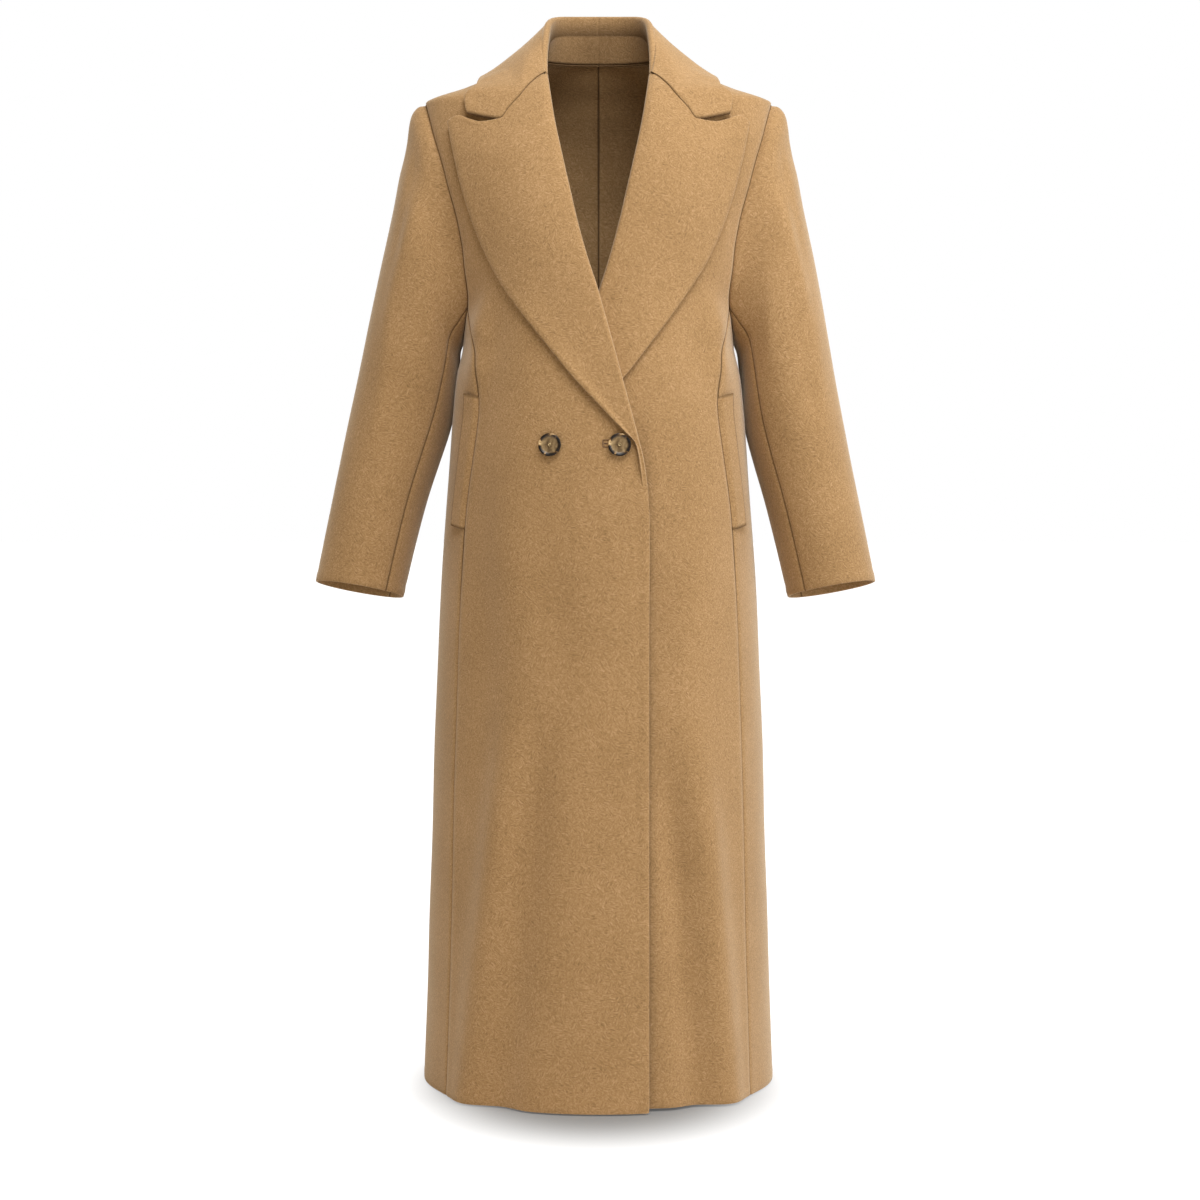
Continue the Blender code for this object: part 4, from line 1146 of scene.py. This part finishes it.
def sideBody(side):
    _, joinFront = armhole(np.array(cut["frontJoin"]))
    _, joinBack = armhole(np.array(cut["backJoin"]))
    frontZ, backZ = rowsTo(float(joinFront)), rowsTo(float(joinBack))
    across = np.linspace(0, 1, grid["sideColumns"] + 1)
    turn = cut["frontJoin"] + (cut["backJoin"] - cut["frontJoin"]) * across
    topAngle, topZ = armhole(turn)
    angle = spread(seamAngle("front", frontZ), seamAngle("back", backZ), across)
    z = spread(frontZ, backZ, across)
    share = between(z[:, :1], (cut["break"], float(joinFront)))
    angle = angle + share * (topAngle - angle[-1])
    z = z + share * (topZ - z[-1])
    edges = {"first": "seam", "last": "seam", "top": "seam", "low": "free"}
    panel("side", side, angle, z, ("top", None, turn), edges, bodyPieces["side"])


def back(side):
    _, join = armhole(np.array(cut["backJoin"]))
    low = rowsTo(float(join))
    topRows = grid["rollRows"] + grid["neckRows"]
    turn = np.linspace(cut["backJoin"], 2 * math.pi, topRows + 1)[1:]
    armAngle, armZ = armhole(turn)
    outerAngle = np.concatenate((seamAngle("back", low), armAngle))
    outerZ = np.concatenate((low, armZ))
    neckAngle, neckZ = neckPlace(np.linspace(0, cut["neckPoint"], grid["backNeckColumns"] + 1))
    centreZ = np.concatenate((low, np.linspace(join, neckZ[0], topRows + 1)[1:]))
    shoulder = np.linspace(0, cut["shoulder"], grid["shoulderColumns"] + 1)[1:]
    topAngle = np.concatenate((neckAngle, np.full(grid["shoulderColumns"], math.pi / 2)))
    topZ = np.concatenate((neckZ, shoulder))
    across = np.linspace(0, 1, grid["backNeckColumns"] + grid["shoulderColumns"] + 1)
    angle = spread(np.full(len(outerZ), math.pi), outerAngle, across)
    z = spread(centreZ, outerZ, across)
    row = np.arange(len(outerZ))[:, None]
    share = between(row, (len(low), len(outerZ) - 1)) ** grid["backTopCrowding"]
    angle = angle + share * (topAngle - angle[-1])
    z = z + share * (topZ - z[-1])
    edges = {"first": "seam", "last": "seam", "top": "seam", "low": "free"}
    panel("back", side, angle, z, ("last", len(low), turn), edges, bodyPieces["back"])


sleevePieces = {
    "top_sleeve": {"flat": (0.315, 0.640), "area": 0.138},
    "under_sleeve": {"flat": (0.135, 0.380), "area": 0.0335},
}


def sleeveRelief(side, part, turn):
    degrees = np.degrees(turn)
    head = between(part, sleeveShape["headStart"]) * (1 - between(part, sleeveShape["headEnd"]))
    total = sleeveShape["head"] * head * between(np.cos(turn), sleeveShape["headReach"])
    for fold in rowsOf(sleeveFolds, side):
        along = (part - fold["start"]) / (fold["end"] - fold["start"])
        centre = fold["turn"] + fold["swing"] * along
        away = (degrees - centre + 180) % 360 - 180
        ramp = ease(along / sleeveShape["foldRamp"]) * ease((1 - along) / sleeveShape["foldRamp"])
        total += fold["height"] * mm * ramp * np.exp(-((away / fold["spread"]) ** 2))
    return total


def sleevePiece(name, side, turns, swing):
    edges = {"first": "seam", "last": "seam", "low": "seam", "top": "free"}
    part = np.linspace(0, 1, grid["sleeveRows"] + 1)[:, None] + 0 * turns
    turn = turns - swing * between(part, sleeveShape["swing"])
    (part, turn), _, _ = refined((part, turn), edges)
    turns = turn[0]
    out = sleeveOut(side, part, turn)
    face = sleeve(side, part, turn) + out * sleeveRelief(side, part, turn)[..., None]
    face = face + out * edgeRelief(face, edges)[..., None]
    back = face - out * cut["cloth"]
    face[0], back[0] = armholeSeam(side, turns)
    shade = seamShade(face, edges)
    face, back = pullIn(face, back, ("first", "last", "low"), edgeLook["seamInset"])
    looks = {**sleevePieces[name], "material": woolCloth, "shade": shade}
    garmentPiece(name, side, face, back, looks)


def sleeves(side):
    topRows = grid["rollRows"] + grid["neckRows"]
    frontTurns = np.linspace(cut["frontJoin"], 0, topRows + 1)[::-1]
    backTurns = np.linspace(cut["backJoin"], 2 * math.pi, topRows + 1) - 2 * math.pi
    over = np.concatenate((backTurns, frontTurns[1:]))
    reach = cut["backJoin"] - cut["frontJoin"]
    under = cut["frontJoin"] + reach * np.linspace(0, 1, grid["sideColumns"] + 1)
    sleevePiece("top_sleeve", side, over, sleeveSwing * np.clip(over / cut["frontJoin"], 0, 1))
    sleevePiece("under_sleeve", side, under, sleeveSwing * (cut["backJoin"] - under) / reach)


lapelPieces = {
    "lapel": {"flat": (0.175, 0.530), "area": 0.0455},
    "collar": {"flat": (0.150, 0.290), "area": 0.0284},
    "stand": {"flat": (0.145, 0.036), "area": 0.0039},
}

# The round fold at the roll line, and the front's edge inside it.
rollFold = {
    "radius": 4.6 * mm,
    "depth": -1.0 * mm,         # of the fold's middle, from the front's face
    "return": 3.2 * mm,         # how far the cloth runs back under the fold
    "frontInset": 4.2 * mm,
    "fullWidth": 12 * mm,       # where the lapel is narrower, the fold is smaller
    "least": 0.25,
}

# The leaf that lies on the front: shares run up the roll line, or out from it to the edge.
leafShape = {
    "lift": 3.4 * mm,
    "swell": 3.5 * mm,
    "swellStart": (0.42, 0.72),
    "swellEnd": (1.0, 0.86),
    "swellSkew": 0.7,           # under 1 brings its highest line nearer the roll
    "edgeLift": 2.4 * mm,       # the free edges of lapels and collar lie off the cloth
    "lapelSewn": 0.52,          # share of the lapel's top that is sewn to the collar
    "collarSewn": 0.70,         # and of the collar's end
    "freeFrom": 0.1,            # share past the seam where the top is wholly free
    "gorgeLift": 1.5 * mm,
    "gorgeStart": (0.7, 1.0),
    "growth": 0.13,             # the lapel grows out of the front's edge over this share
    "flush": -0.9 * mm,         # where its cloth lies at the break, inside the edge
    "least": 0.05,
    "lastColumn": 0.999,        # keeps the narrowest leaf's columns apart
    "puff": 0.6 * mm,           # the turned-in edge is fuller just inside it
    "puffPlace": 4.5 * mm,
    "puffWidth": 3.2 * mm,
    "puffStart": (0.1, 0.2),
    "topLength": 0.9,           # the cloth's length up the leaf, by that of the roll line
}

collarShape = {
    "gorgeBlend": (0.8, 1.0),   # near the gorge the roll takes the lapel's own direction
    "gorgeStep": 0.06,
    "returnBlend": (0.75, 1.0),     # and its strip runs into the return of the lapel's fold
    "stripSink": 1.8 * mm,      # deepest halfway there
    "endBlend": (0.62, 1.0),    # where the leaf turns to its sewn front end
    "room": 6.0 * mm,           # over the front's face
    "leastFacing": 0.3,         # keeps that room from growing long at the sides
    "neckShade": 0.42,          # painted shade: the inside of the collar is darkened, where less light reaches
    "neckShadeEnd": (1.05, 0.70),
    "neckShadeFold": 0.62,      # share of the fold's steps that it covers
    "seamShade": 1.8 * mm,
    "endSeam": 0.4,             # how dark the painted shade of the centre back seam is, against the others
    "seamInset": 0.3 * mm,
    # painted shade over the whole stand, inside the neck
    "standShade": 0.52,
    "standEnd": 0.86,
    "standInset": 0.4 * mm,
}


def foldSection(thickness):
    # The round fold in its own section: distance in from the nose and height over the front.
    radius = rollFold["radius"] - thickness
    turns = np.radians(np.linspace(270, 90, grid["foldSteps"] + 1))
    distance = np.concatenate(([rollFold["radius"] + rollFold["return"]],
                               rollFold["radius"] + radius * np.cos(turns)))
    height = np.concatenate(([rollFold["depth"] - radius],
                             rollFold["depth"] + radius * np.sin(turns)))
    return distance, height


def lapelPoints(side, part, across, lift):
    place = lapelPlace(part + 0 * across, across)
    u, z = place[..., 0], place[..., 1]
    return body(side, angleAt(u, z), z, lift)


def lapelGrowth(part):
    # Near the break the lapel flattens into the front's edge.
    return np.maximum(ease(part / leafShape["growth"]), leafShape["least"])


def flattened(part, height):
    return leafShape["flush"] + (height - leafShape["flush"]) * lapelGrowth(part)


def lapelFold(side, part, thickness):
    distance, height = foldSection(thickness)
    across = distance * foldScale(part) / lapelWidth(part)
    return lapelPoints(side, part, across, flattened(part, height + 0 * across))[0]


def edgeLift(shares, sewn):
    return leafShape["edgeLift"] * ease((shares - sewn) / (1 - sewn))


def leafRelief(*distances):
    # The turned-in edge is fuller just inside it, then rounds down to the edge itself.
    puffs = [np.exp(-(((distance - leafShape["puffPlace"]) / leafShape["puffWidth"]) ** 2))
             for distance in distances]
    return leafShape["puff"] * np.maximum(*puffs)


def lapel(side):
    part = rollPart(rollRows())[:, None]
    shares = np.linspace(0, 1, grid["leafColumns"] + 1)[1:]
    leafStart = rollFold["radius"] * foldScale(part) / lapelWidth(part)
    across = shares + leafStart * (1 - shares) * (1 - ease(part))
    most = shares * leafShape["lastColumn"]
    across = np.maximum(across, leafStart + (1 - leafStart) * most)
    rise = between(part, leafShape["swellStart"]) * between(part, leafShape["swellEnd"])
    swell = leafShape["swell"] * rise * np.sin(math.pi * shares ** leafShape["swellSkew"])
    lift = leafShape["lift"] + swell + edgeLift(shares, leafShape["lapelSewn"])
    lift = lift + leafShape["gorgeLift"] * between(part, leafShape["gorgeStart"])
    fromEdge = (1 - shares) * lapelWidth(part)
    free = ease((shares - leafShape["lapelSewn"]) / leafShape["freeFrom"])
    # The sewn part of the top counts as far away, so no fullness runs along it.
    fromTop = (1 - part) * (cut["gorge"] - cut["break"]) * leafShape["topLength"] + (1 - free)
    relief = leafRelief(fromEdge, fromTop) * between(part, leafShape["puffStart"])
    skins = []
    for thickness in (0.0, cut["lapelCloth"]):
        fold = lapelFold(side, part, thickness)
        raised = lift - thickness + (relief if not thickness else 0)
        leaf, _ = lapelPoints(side, part, across, flattened(part, raised))
        skins.append(np.concatenate((fold, leaf), axis=1))
    garmentPiece("lapel", side, *skins, {**lapelPieces["lapel"], "material": woolCloth})


def clearOfFront(side, points, room):
    # Moves points forward where they would come nearer than room to the front's face.
    u, y, z = (points[..., i] for i in range(3))
    face, out = body(side, angleAt(u, z), z)
    nearest = face[..., 1] - room / np.clip(-out[..., 1], collarShape["leastFacing"], 1.0)
    inside = (u < readColumn(bodySizes, "width", z)) & (y < readColumn(bodySizes, "middle", z))
    return stack(u, np.where(inside, np.minimum(y, nearest), y), z)


def rollFrame(side, part):
    # The collar's roll line, its nose direction and the direction out of its leaf.
    def line(at):
        return readColumns(collarRoll, ("u", "y", "height"), at)

    top = line(part)
    step = 0.01
    run = unit(line(np.clip(part + step, 0, 1)) - line(np.clip(part - step, 0, 1)))
    nose = unit(readColumns(collarRoll, ("nose_u", "nose_y", "nose_z"), part))
    gorge = lapelPlace(np.ones(2), np.array([0.0, collarShape["gorgeStep"]]))
    gorgePoints, gorgeOut = body(side, angleAt(gorge[:, 0], gorge[:, 1]), gorge[:, 1],
                                 rollFold["depth"])
    last = between(part, collarShape["gorgeBlend"])[:, None]
    nose = unit(nose * (1 - last) + unit(gorgePoints[0] - gorgePoints[1]) * last)
    nose = unit(nose - run * np.sum(nose * run, axis=-1, keepdims=True) * (1 - last))
    out = unit(np.cross(nose, run) * (1 - last) + gorgeOut[0] * last)
    return top * (1 - last) + gorgePoints[0] * last, nose, out


def stripEnd(side, part, thickness):
    # The seam under the roll. Near the gorge it runs into the return of the lapel's fold.
    top, nose, out = rollFrame(side, part)
    seam = readColumns(standSeam, ("u", "y", "height"), part)
    distance, height = foldSection(thickness)
    foldReturn = top - nose * distance[0] + out * (height[0] - rollFold["depth"])
    close = between(part, collarShape["returnBlend"])[:, None]
    sink = out * collarShape["stripSink"] * 4 * close * (1 - close)
    return (seam + out * thickness) * (1 - close) + foldReturn * close - sink


def neckParts():
    behind = np.linspace(0, cut["neckPoint"], grid["backNeckColumns"] + 1)
    return np.concatenate((behind, np.linspace(cut["neckPoint"], 1, grid["neckRows"] + 1)[1:]))


def collar(side):
    part = neckParts()
    top, nose, out = rollFrame(side, part)
    last = between(part, collarShape["endBlend"])[:, None, None]
    shares = np.linspace(0, 1, grid["leafColumns"] + 1)
    endAngle = np.radians(readColumn(collarEdge, "angle", part))
    edge, edgeOut = body(side, endAngle, readColumn(collarEdge, "height", part),
                         readColumn(collarEdge, "lift", part) * mm)
    skins = []
    for thickness in (0.0, cut["lapelCloth"]):
        distance, height = foldSection(thickness)
        height = height - rollFold["depth"]
        fold = top[:, None] - nose[:, None] * distance[:, None] + out[:, None] * height[:, None]
        fold[:, 0] = stripEnd(side, part, thickness)
        leafEnd = edge - edgeOut * thickness
        leaf = fold[:, -1:] + (leafEnd[:, None] - fold[:, -1:]) * shares[1:, None]
        fold[-1] = lapelFold(side, np.ones((1, 1)), thickness)[0]
        u, z = readColumn(collarEnd, "u", shares[1:]), readColumn(collarEnd, "height", shares[1:])
        lift = leafShape["lift"] + leafShape["gorgeLift"] - thickness
        lift = lift + edgeLift(shares[1:], leafShape["collarSewn"])
        gorgeLine, _ = body(side, angleAt(u, z), z, lift)
        leaf = leaf + last * (gorgeLine - leaf[-1])
        leaf[:-1] = clearOfFront(side, leaf[:-1], collarShape["room"] - thickness)
        skins.append(np.concatenate((fold, leaf), axis=1))
    shade = seamShade(skins[0], {"first": "seam", "top": "seam"}, collarShape["seamShade"])
    shade = np.maximum(shade, collarShape["endSeam"] * seamShade(skins[0], {"low": "seam"}))
    # Painted shade over the collar's inner strip and fold, fading out towards the front.
    under = np.zeros(skins[0].shape[1])
    folds = len(foldSection(0.0)[0])
    under[:folds] = 1 - ease(np.arange(folds) / (collarShape["neckShadeFold"] * folds))
    under = under * between(part, collarShape["neckShadeEnd"])[:, None]
    shade = np.maximum(shade, collarShape["neckShade"] * under)
    face, back = pullIn(*skins, ("low", "first", "top"), collarShape["seamInset"])
    looks = {**lapelPieces["collar"], "material": woolCloth, "shade": shade}
    garmentPiece("collar", side, face, back, looks)


def stand(side):
    part = neckParts()
    part = part[part < collarShape["standEnd"]]
    base, _ = body(side, *neckPlace(part))
    _, _, out = rollFrame(side, part)
    rise = np.linspace(0, 1, grid["standRows"])[:, None]
    skins = []
    for thickness in (0.0, cut["cloth"]):
        low = base - out * (cut["cloth"] - thickness)
        high = stripEnd(side, part, thickness)
        skins.append(low[:, None] + (high - low)[:, None] * rise)
    shade = seamShade(skins[0], {"first": "seam", "last": "seam"}, collarShape["seamShade"])
    # The whole stand gets painted shade, as it lies in shade inside the neck.
    shade = np.maximum(shade, collarShape["standShade"])
    face, back = pullIn(*skins, ("first", "last", "low"), collarShape["standInset"])
    looks = {**lapelPieces["stand"], "material": woolCloth, "shade": shade}
    garmentPiece("stand", side, face, back, looks)


weltSizes = {
    "width": 24 * mm,
    "top": -0.404,
    "low": -0.556,
    "slant": 4 * mm,
    "lift": 3.0 * mm,           # of its face over the side body
    "freeLift": 1.6 * mm,
    "gap": 0.3 * mm,            # between it and the pocket seam
    "sewn": (-0.06, 0.24),      # share of its width over which it rises out of the seam
    "seamSink": 1.2 * mm,
    "puff": 0.5 * mm,
    "edgeShade": 0.8,
    "flat": (0.028, 0.156),     # the cut of what shows, in metres
    "area": 0.0043,             # square metres
}
buttonSizes = {
    "radius": 13.3 * mm,
    "rim": 4.6 * mm,
    "dish": 2.6 * mm,
    "gap": 0.4 * mm,            # between it and the cloth
    "height": -0.460,
    "places": {"button_1": 0.053, "button_2": -0.0230},     # u on the right front
    "studRadius": 2.2 * mm,
    "studHeight": 1.4 * mm,
    "studGap": 0.3 * mm,
    "steps": 96,                # round it
    "profileSteps": 60,
    "studProfileSteps": 36,
}


def welt(side):
    rows = np.linspace(0, 1, grid["weltRows"])[:, None]
    across = np.linspace(0, 1, grid["weltColumns"])[None, :]
    z = weltSizes["low"] + (weltSizes["top"] - weltSizes["low"]) * rows
    z = z + weltSizes["slant"] * across
    start = seamAngle("front", z)
    here, _ = body(side, start, z)
    step = 0.01
    after, _ = body(side, start + step, z)
    reach = step / np.linalg.norm(after - here, axis=-1)
    angle = start + (weltSizes["width"] * across + weltSizes["gap"]) * reach
    puff = np.sin(math.pi * rows) ** 0.3 * np.sin(math.pi * across) ** 0.5
    grown = between(across, weltSizes["sewn"])
    skins = []
    for thickness in (0.0, cut["weltCloth"]):
        lift = weltSizes["lift"] + weltSizes["freeLift"] * across**2 - thickness
        extra = -weltSizes["seamSink"] * (1 - grown) if thickness else weltSizes["puff"] * puff
        points, _ = body(side, angle, z, lift * grown + extra)
        skins.append(points)
    # Painted shade along the welt's free edge and its two ends, where it stands off the cloth.
    outline = {"last": "seam", "low": "seam", "top": "seam"}
    shade = weltSizes["edgeShade"] * seamShade(skins[0], outline)
    garmentPiece("welt", side, *skins, {**weltSizes, "material": woolCloth, "shade": shade})


hornLook = {
    "mottle": 15.0,          # mm
    "streak": 3.0,           # mm
    "streakShare": 0.2,
    "rimFrom": (0.66, 0.86),     # shares of the radius where the centre turns to the rim
    # values of the mottling and their colours
    "centre": ((0.32, "#4a3a28"), (0.48, "#806a4b"), (0.62, "#a08a66")),
    "rim": ((0.46, "#0d0907"), (0.52, "#2b1d12"), (0.57, "#8d6c42"), (0.63, "#e0c392")),
    "roughness": 0.36,
    "ior": 1.54,
    "specular": 0.3,
}
brassLook = {
    "tones": ((0.0, "#8f7a58"), (1.0, "#cbb68d")),
    "wear": 1.5,             # mm
    "roughness": 0.34,
}


def horn():
    # Polished horn, turned on a lathe: mottled near-black to tan, with a clear glossy surface.
    made, tree = emptyMaterial("polishedHorn")
    place = objectPlace(tree)
    mottle = noise(tree, place, 1000 / hornLook["mottle"], 2.0, roughness=0.45, distortion=1.2)
    streak = noise(tree, place, 1000 / hornLook["streak"], 4.0, distortion=2.0)
    tone = weighted(tree, streak, mottle, hornLook["streakShare"])
    radius = addNode(tree, "ShaderNodeVectorMath", {"operation": "LENGTH"}, s0=place)
    rimFrom = [share * buttonSizes["radius"] for share in hornLook["rimFrom"]]
    onRim = smoothStep(tree, radius.outputs["Value"], rimFrom)
    centre = colourRamp(tree, tone, hornLook["centre"])
    rim = colourRamp(tree, tone, hornLook["rim"])
    shader = addNode(tree, "ShaderNodeBsdfPrincipled",
                     Base_Color=colourMix(tree, onRim, centre, rim),
                     Roughness=hornLook["roughness"], IOR=hornLook["ior"],
                     Specular_IOR_Level=hornLook["specular"])
    addNode(tree, "ShaderNodeOutputMaterial", Surface=shader.outputs[0])
    return made


def brass():
    # Brass, turned and satin finished, dulled a little.
    made, tree = emptyMaterial("satinBrass")
    wear = noise(tree, objectPlace(tree), 1000 / brassLook["wear"], 3.0)
    shader = addNode(tree, "ShaderNodeBsdfPrincipled",
                     Base_Color=colourRamp(tree, wear, brassLook["tones"]),
                     Roughness=brassLook["roughness"], Metallic=1.0)
    addNode(tree, "ShaderNodeOutputMaterial", Surface=shader.outputs[0])
    return made


def turned(name, profile, material, placeAt, out, node, slotName):
    # A round piece: its profile as a line, turned by a Screw modifier.
    mesh = bpy.data.meshes.new(name)
    edges = [(i, i + 1) for i in range(len(profile) - 1)]
    mesh.from_pydata([(r, 0.0, z) for r, z in profile], edges, [])
    piece = bpy.data.objects.new(name, mesh)
    bpy.context.collection.objects.link(piece)
    screw = piece.modifiers.new("turn", "SCREW")
    screw.steps = screw.render_steps = buttonSizes["steps"]
    screw.use_merge_vertices = True
    screw.merge_threshold = 0.02 * mm
    screw.use_smooth_shade = True
    piece.rotation_euler = Vector(out).to_track_quat("Z", "Y").to_euler()
    piece.location = placeAt
    mesh.materials.append(material)
    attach(piece, "root")
    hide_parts(node)


def smoothProfile(points, count):
    # A smooth line through a profile's corners, by distance along it.
    points = np.array(points)
    run = np.concatenate(([0], np.cumsum(np.linalg.norm(np.diff(points, axis=0), axis=1))))
    at = np.linspace(0, run[-1], count)
    line = np.stack([np.interp(at, run, points[:, k]) for k in (0, 1)], axis=-1)
    for _ in range(3):
        line[1:-1] = (line[:-2] + 2 * line[1:-1] + line[2:]) / 4
    return [tuple(p) for p in line]


def buttons():
    # Each profile runs from the middle of the top, round the edge, to the middle underneath.
    rim, radius, dish = buttonSizes["rim"], buttonSizes["radius"], buttonSizes["dish"]
    buttonProfile = smoothProfile([
        (0.0, dish),
        (0.62 * radius, dish),
        (0.74 * radius, dish + 0.35 * (rim - dish)),
        (0.84 * radius, 0.98 * rim),
        (0.92 * radius, rim),
        (radius, 0.66 * rim),
        (0.98 * radius, 0.42 * rim),
        (0.70 * radius, 0.0),
        (0.0, 0.0),
    ], buttonSizes["profileSteps"])
    studRadius, studHeight = buttonSizes["studRadius"], buttonSizes["studHeight"]
    studProfile = smoothProfile([
        (0.0, 0.55 * studHeight),
        (0.30 * studRadius, 0.55 * studHeight),
        (0.50 * studRadius, studHeight),
        (0.80 * studRadius, studHeight),
        (studRadius, 0.45 * studHeight),
        (studRadius, 0.0),
        (0.0, 0.0),
    ], buttonSizes["studProfileSteps"])
    hornFinish, brassFinish = horn(), brass()
    for name, u in buttonSizes["places"].items():
        z = np.array(buttonSizes["height"])
        base, out = body(-1, angleAt(np.array(u), z), z, buttonSizes["gap"])
        base, out = mirrored(-1, base), mirrored(-1, out)
        turned(f"{name}_horn", buttonProfile, hornFinish, base, out, name, "horn")
        seat = base + out * (dish + buttonSizes["studGap"])
        stud = name.replace("button", "button_stud")
        turned(f"{stud}_brass", studProfile, brassFinish, seat, out, stud, "brass")


stitchSizes = {
    "thread": 0.55 * mm,
    "threadLift": 0.1 * mm,
    "holeLeft": -0.0135,       # the buttonhole, as u on the right front
    "holeRight": -0.0050,
    "holeLow": -0.4625,
    "holeTop": -0.4545,
    "sideSteps": 6,
    "slitInset": 1.2 * mm,
    "slitThread": 0.6 * mm,
    "slitSteps": 8,
}
threadLook = {
    "stitch": "#6b4a28",
    "slit": "#5a3c1f",
    "twist": 1.2,            # mm
    "roughness": 0.65,
    "sheen": 0.2,
    "bumpDepth": 0.15,       # mm
    "bumpStrength": 0.5,
}


def thread(name, colour):
    # Spun polyester sewing thread, twisted: slightly shiny, darker than the wool.
    made, tree = emptyMaterial(name)
    twist = addNode(tree, "ShaderNodeTexWave", Vector=objectPlace(tree),
                    Scale=1000 / threadLook["twist"], Distortion=1.5)
    bump = addNode(tree, "ShaderNodeBump", Height=twist.outputs["Fac"],
                   Strength=threadLook["bumpStrength"], Distance=threadLook["bumpDepth"] * mm)
    shader = addNode(tree, "ShaderNodeBsdfPrincipled", Base_Color=colour,
                     Roughness=threadLook["roughness"], Sheen_Weight=threadLook["sheen"],
                     Normal=bump.outputs["Normal"])
    addNode(tree, "ShaderNodeOutputMaterial", Surface=shader.outputs[0])
    return made


def stitchLine(name, points, radius, material, closed=False):
    # A sunken line of thread along points of the cloth.
    curve = bpy.data.curves.new(name, "CURVE")
    curve.dimensions = "3D"
    curve.bevel_depth = radius
    curve.bevel_resolution = 2
    curve.use_fill_caps = not closed
    line = curve.splines.new("POLY")
    line.points.add(len(points) - 1)
    for k, point in enumerate(points):
        line.points[k].co = (*point, 1)
    line.use_cyclic_u = closed
    curve.materials.append(material)
    piece = bpy.data.objects.new(name, curve)
    bpy.context.collection.objects.link(piece)
    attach(piece, "root")


def onCloth(side, u, z, lift):
    points, _ = body(side, angleAt(np.array(u), np.array(z)), np.array(z), lift)
    return mirrored(side, points)


def stitching():
    dark = thread("darkThread", threadLook["stitch"])
    brown = thread("brownThread", threadLook["slit"])
    left, right = stitchSizes["holeLeft"], stitchSizes["holeRight"]
    low, top = stitchSizes["holeLow"], stitchSizes["holeTop"]
    corners = [(left, low), (right, low), (right, top), (left, top)]
    u, z = [], []
    for (uA, zA), (uB, zB) in zip(corners, corners[1:] + corners[:1]):
        steps = np.linspace(0, 1, stitchSizes["sideSteps"], endpoint=False)
        u.extend(uA + (uB - uA) * steps)
        z.extend(zA + (zB - zA) * steps)
    edge = onCloth(-1, u, z, stitchSizes["threadLift"])
    stitchLine("buttonhole_stitch", edge, stitchSizes["thread"], dark, closed=True)
    inset, count = stitchSizes["slitInset"], stitchSizes["slitSteps"]
    middle = np.full(count, (low + top) / 2)
    slit = onCloth(-1, np.linspace(left + inset, right - inset, count), middle, 0.0)
    stitchLine("buttonhole_slit", slit, stitchSizes["slitThread"], brown)


for side in (-1, 1):
    front(side)
    sideBody(side)
    back(side)
    sleeves(side)
    lapel(side)
    collar(side)
    stand(side)
    welt(side)
    print("side made", side)
buttons()
stitching()
print("pieces made")

boxes = {"cad": cadBox, "visual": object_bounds()}
{name: [list(map(float, corner)) for corner in box] for name, box in boxes.items()}
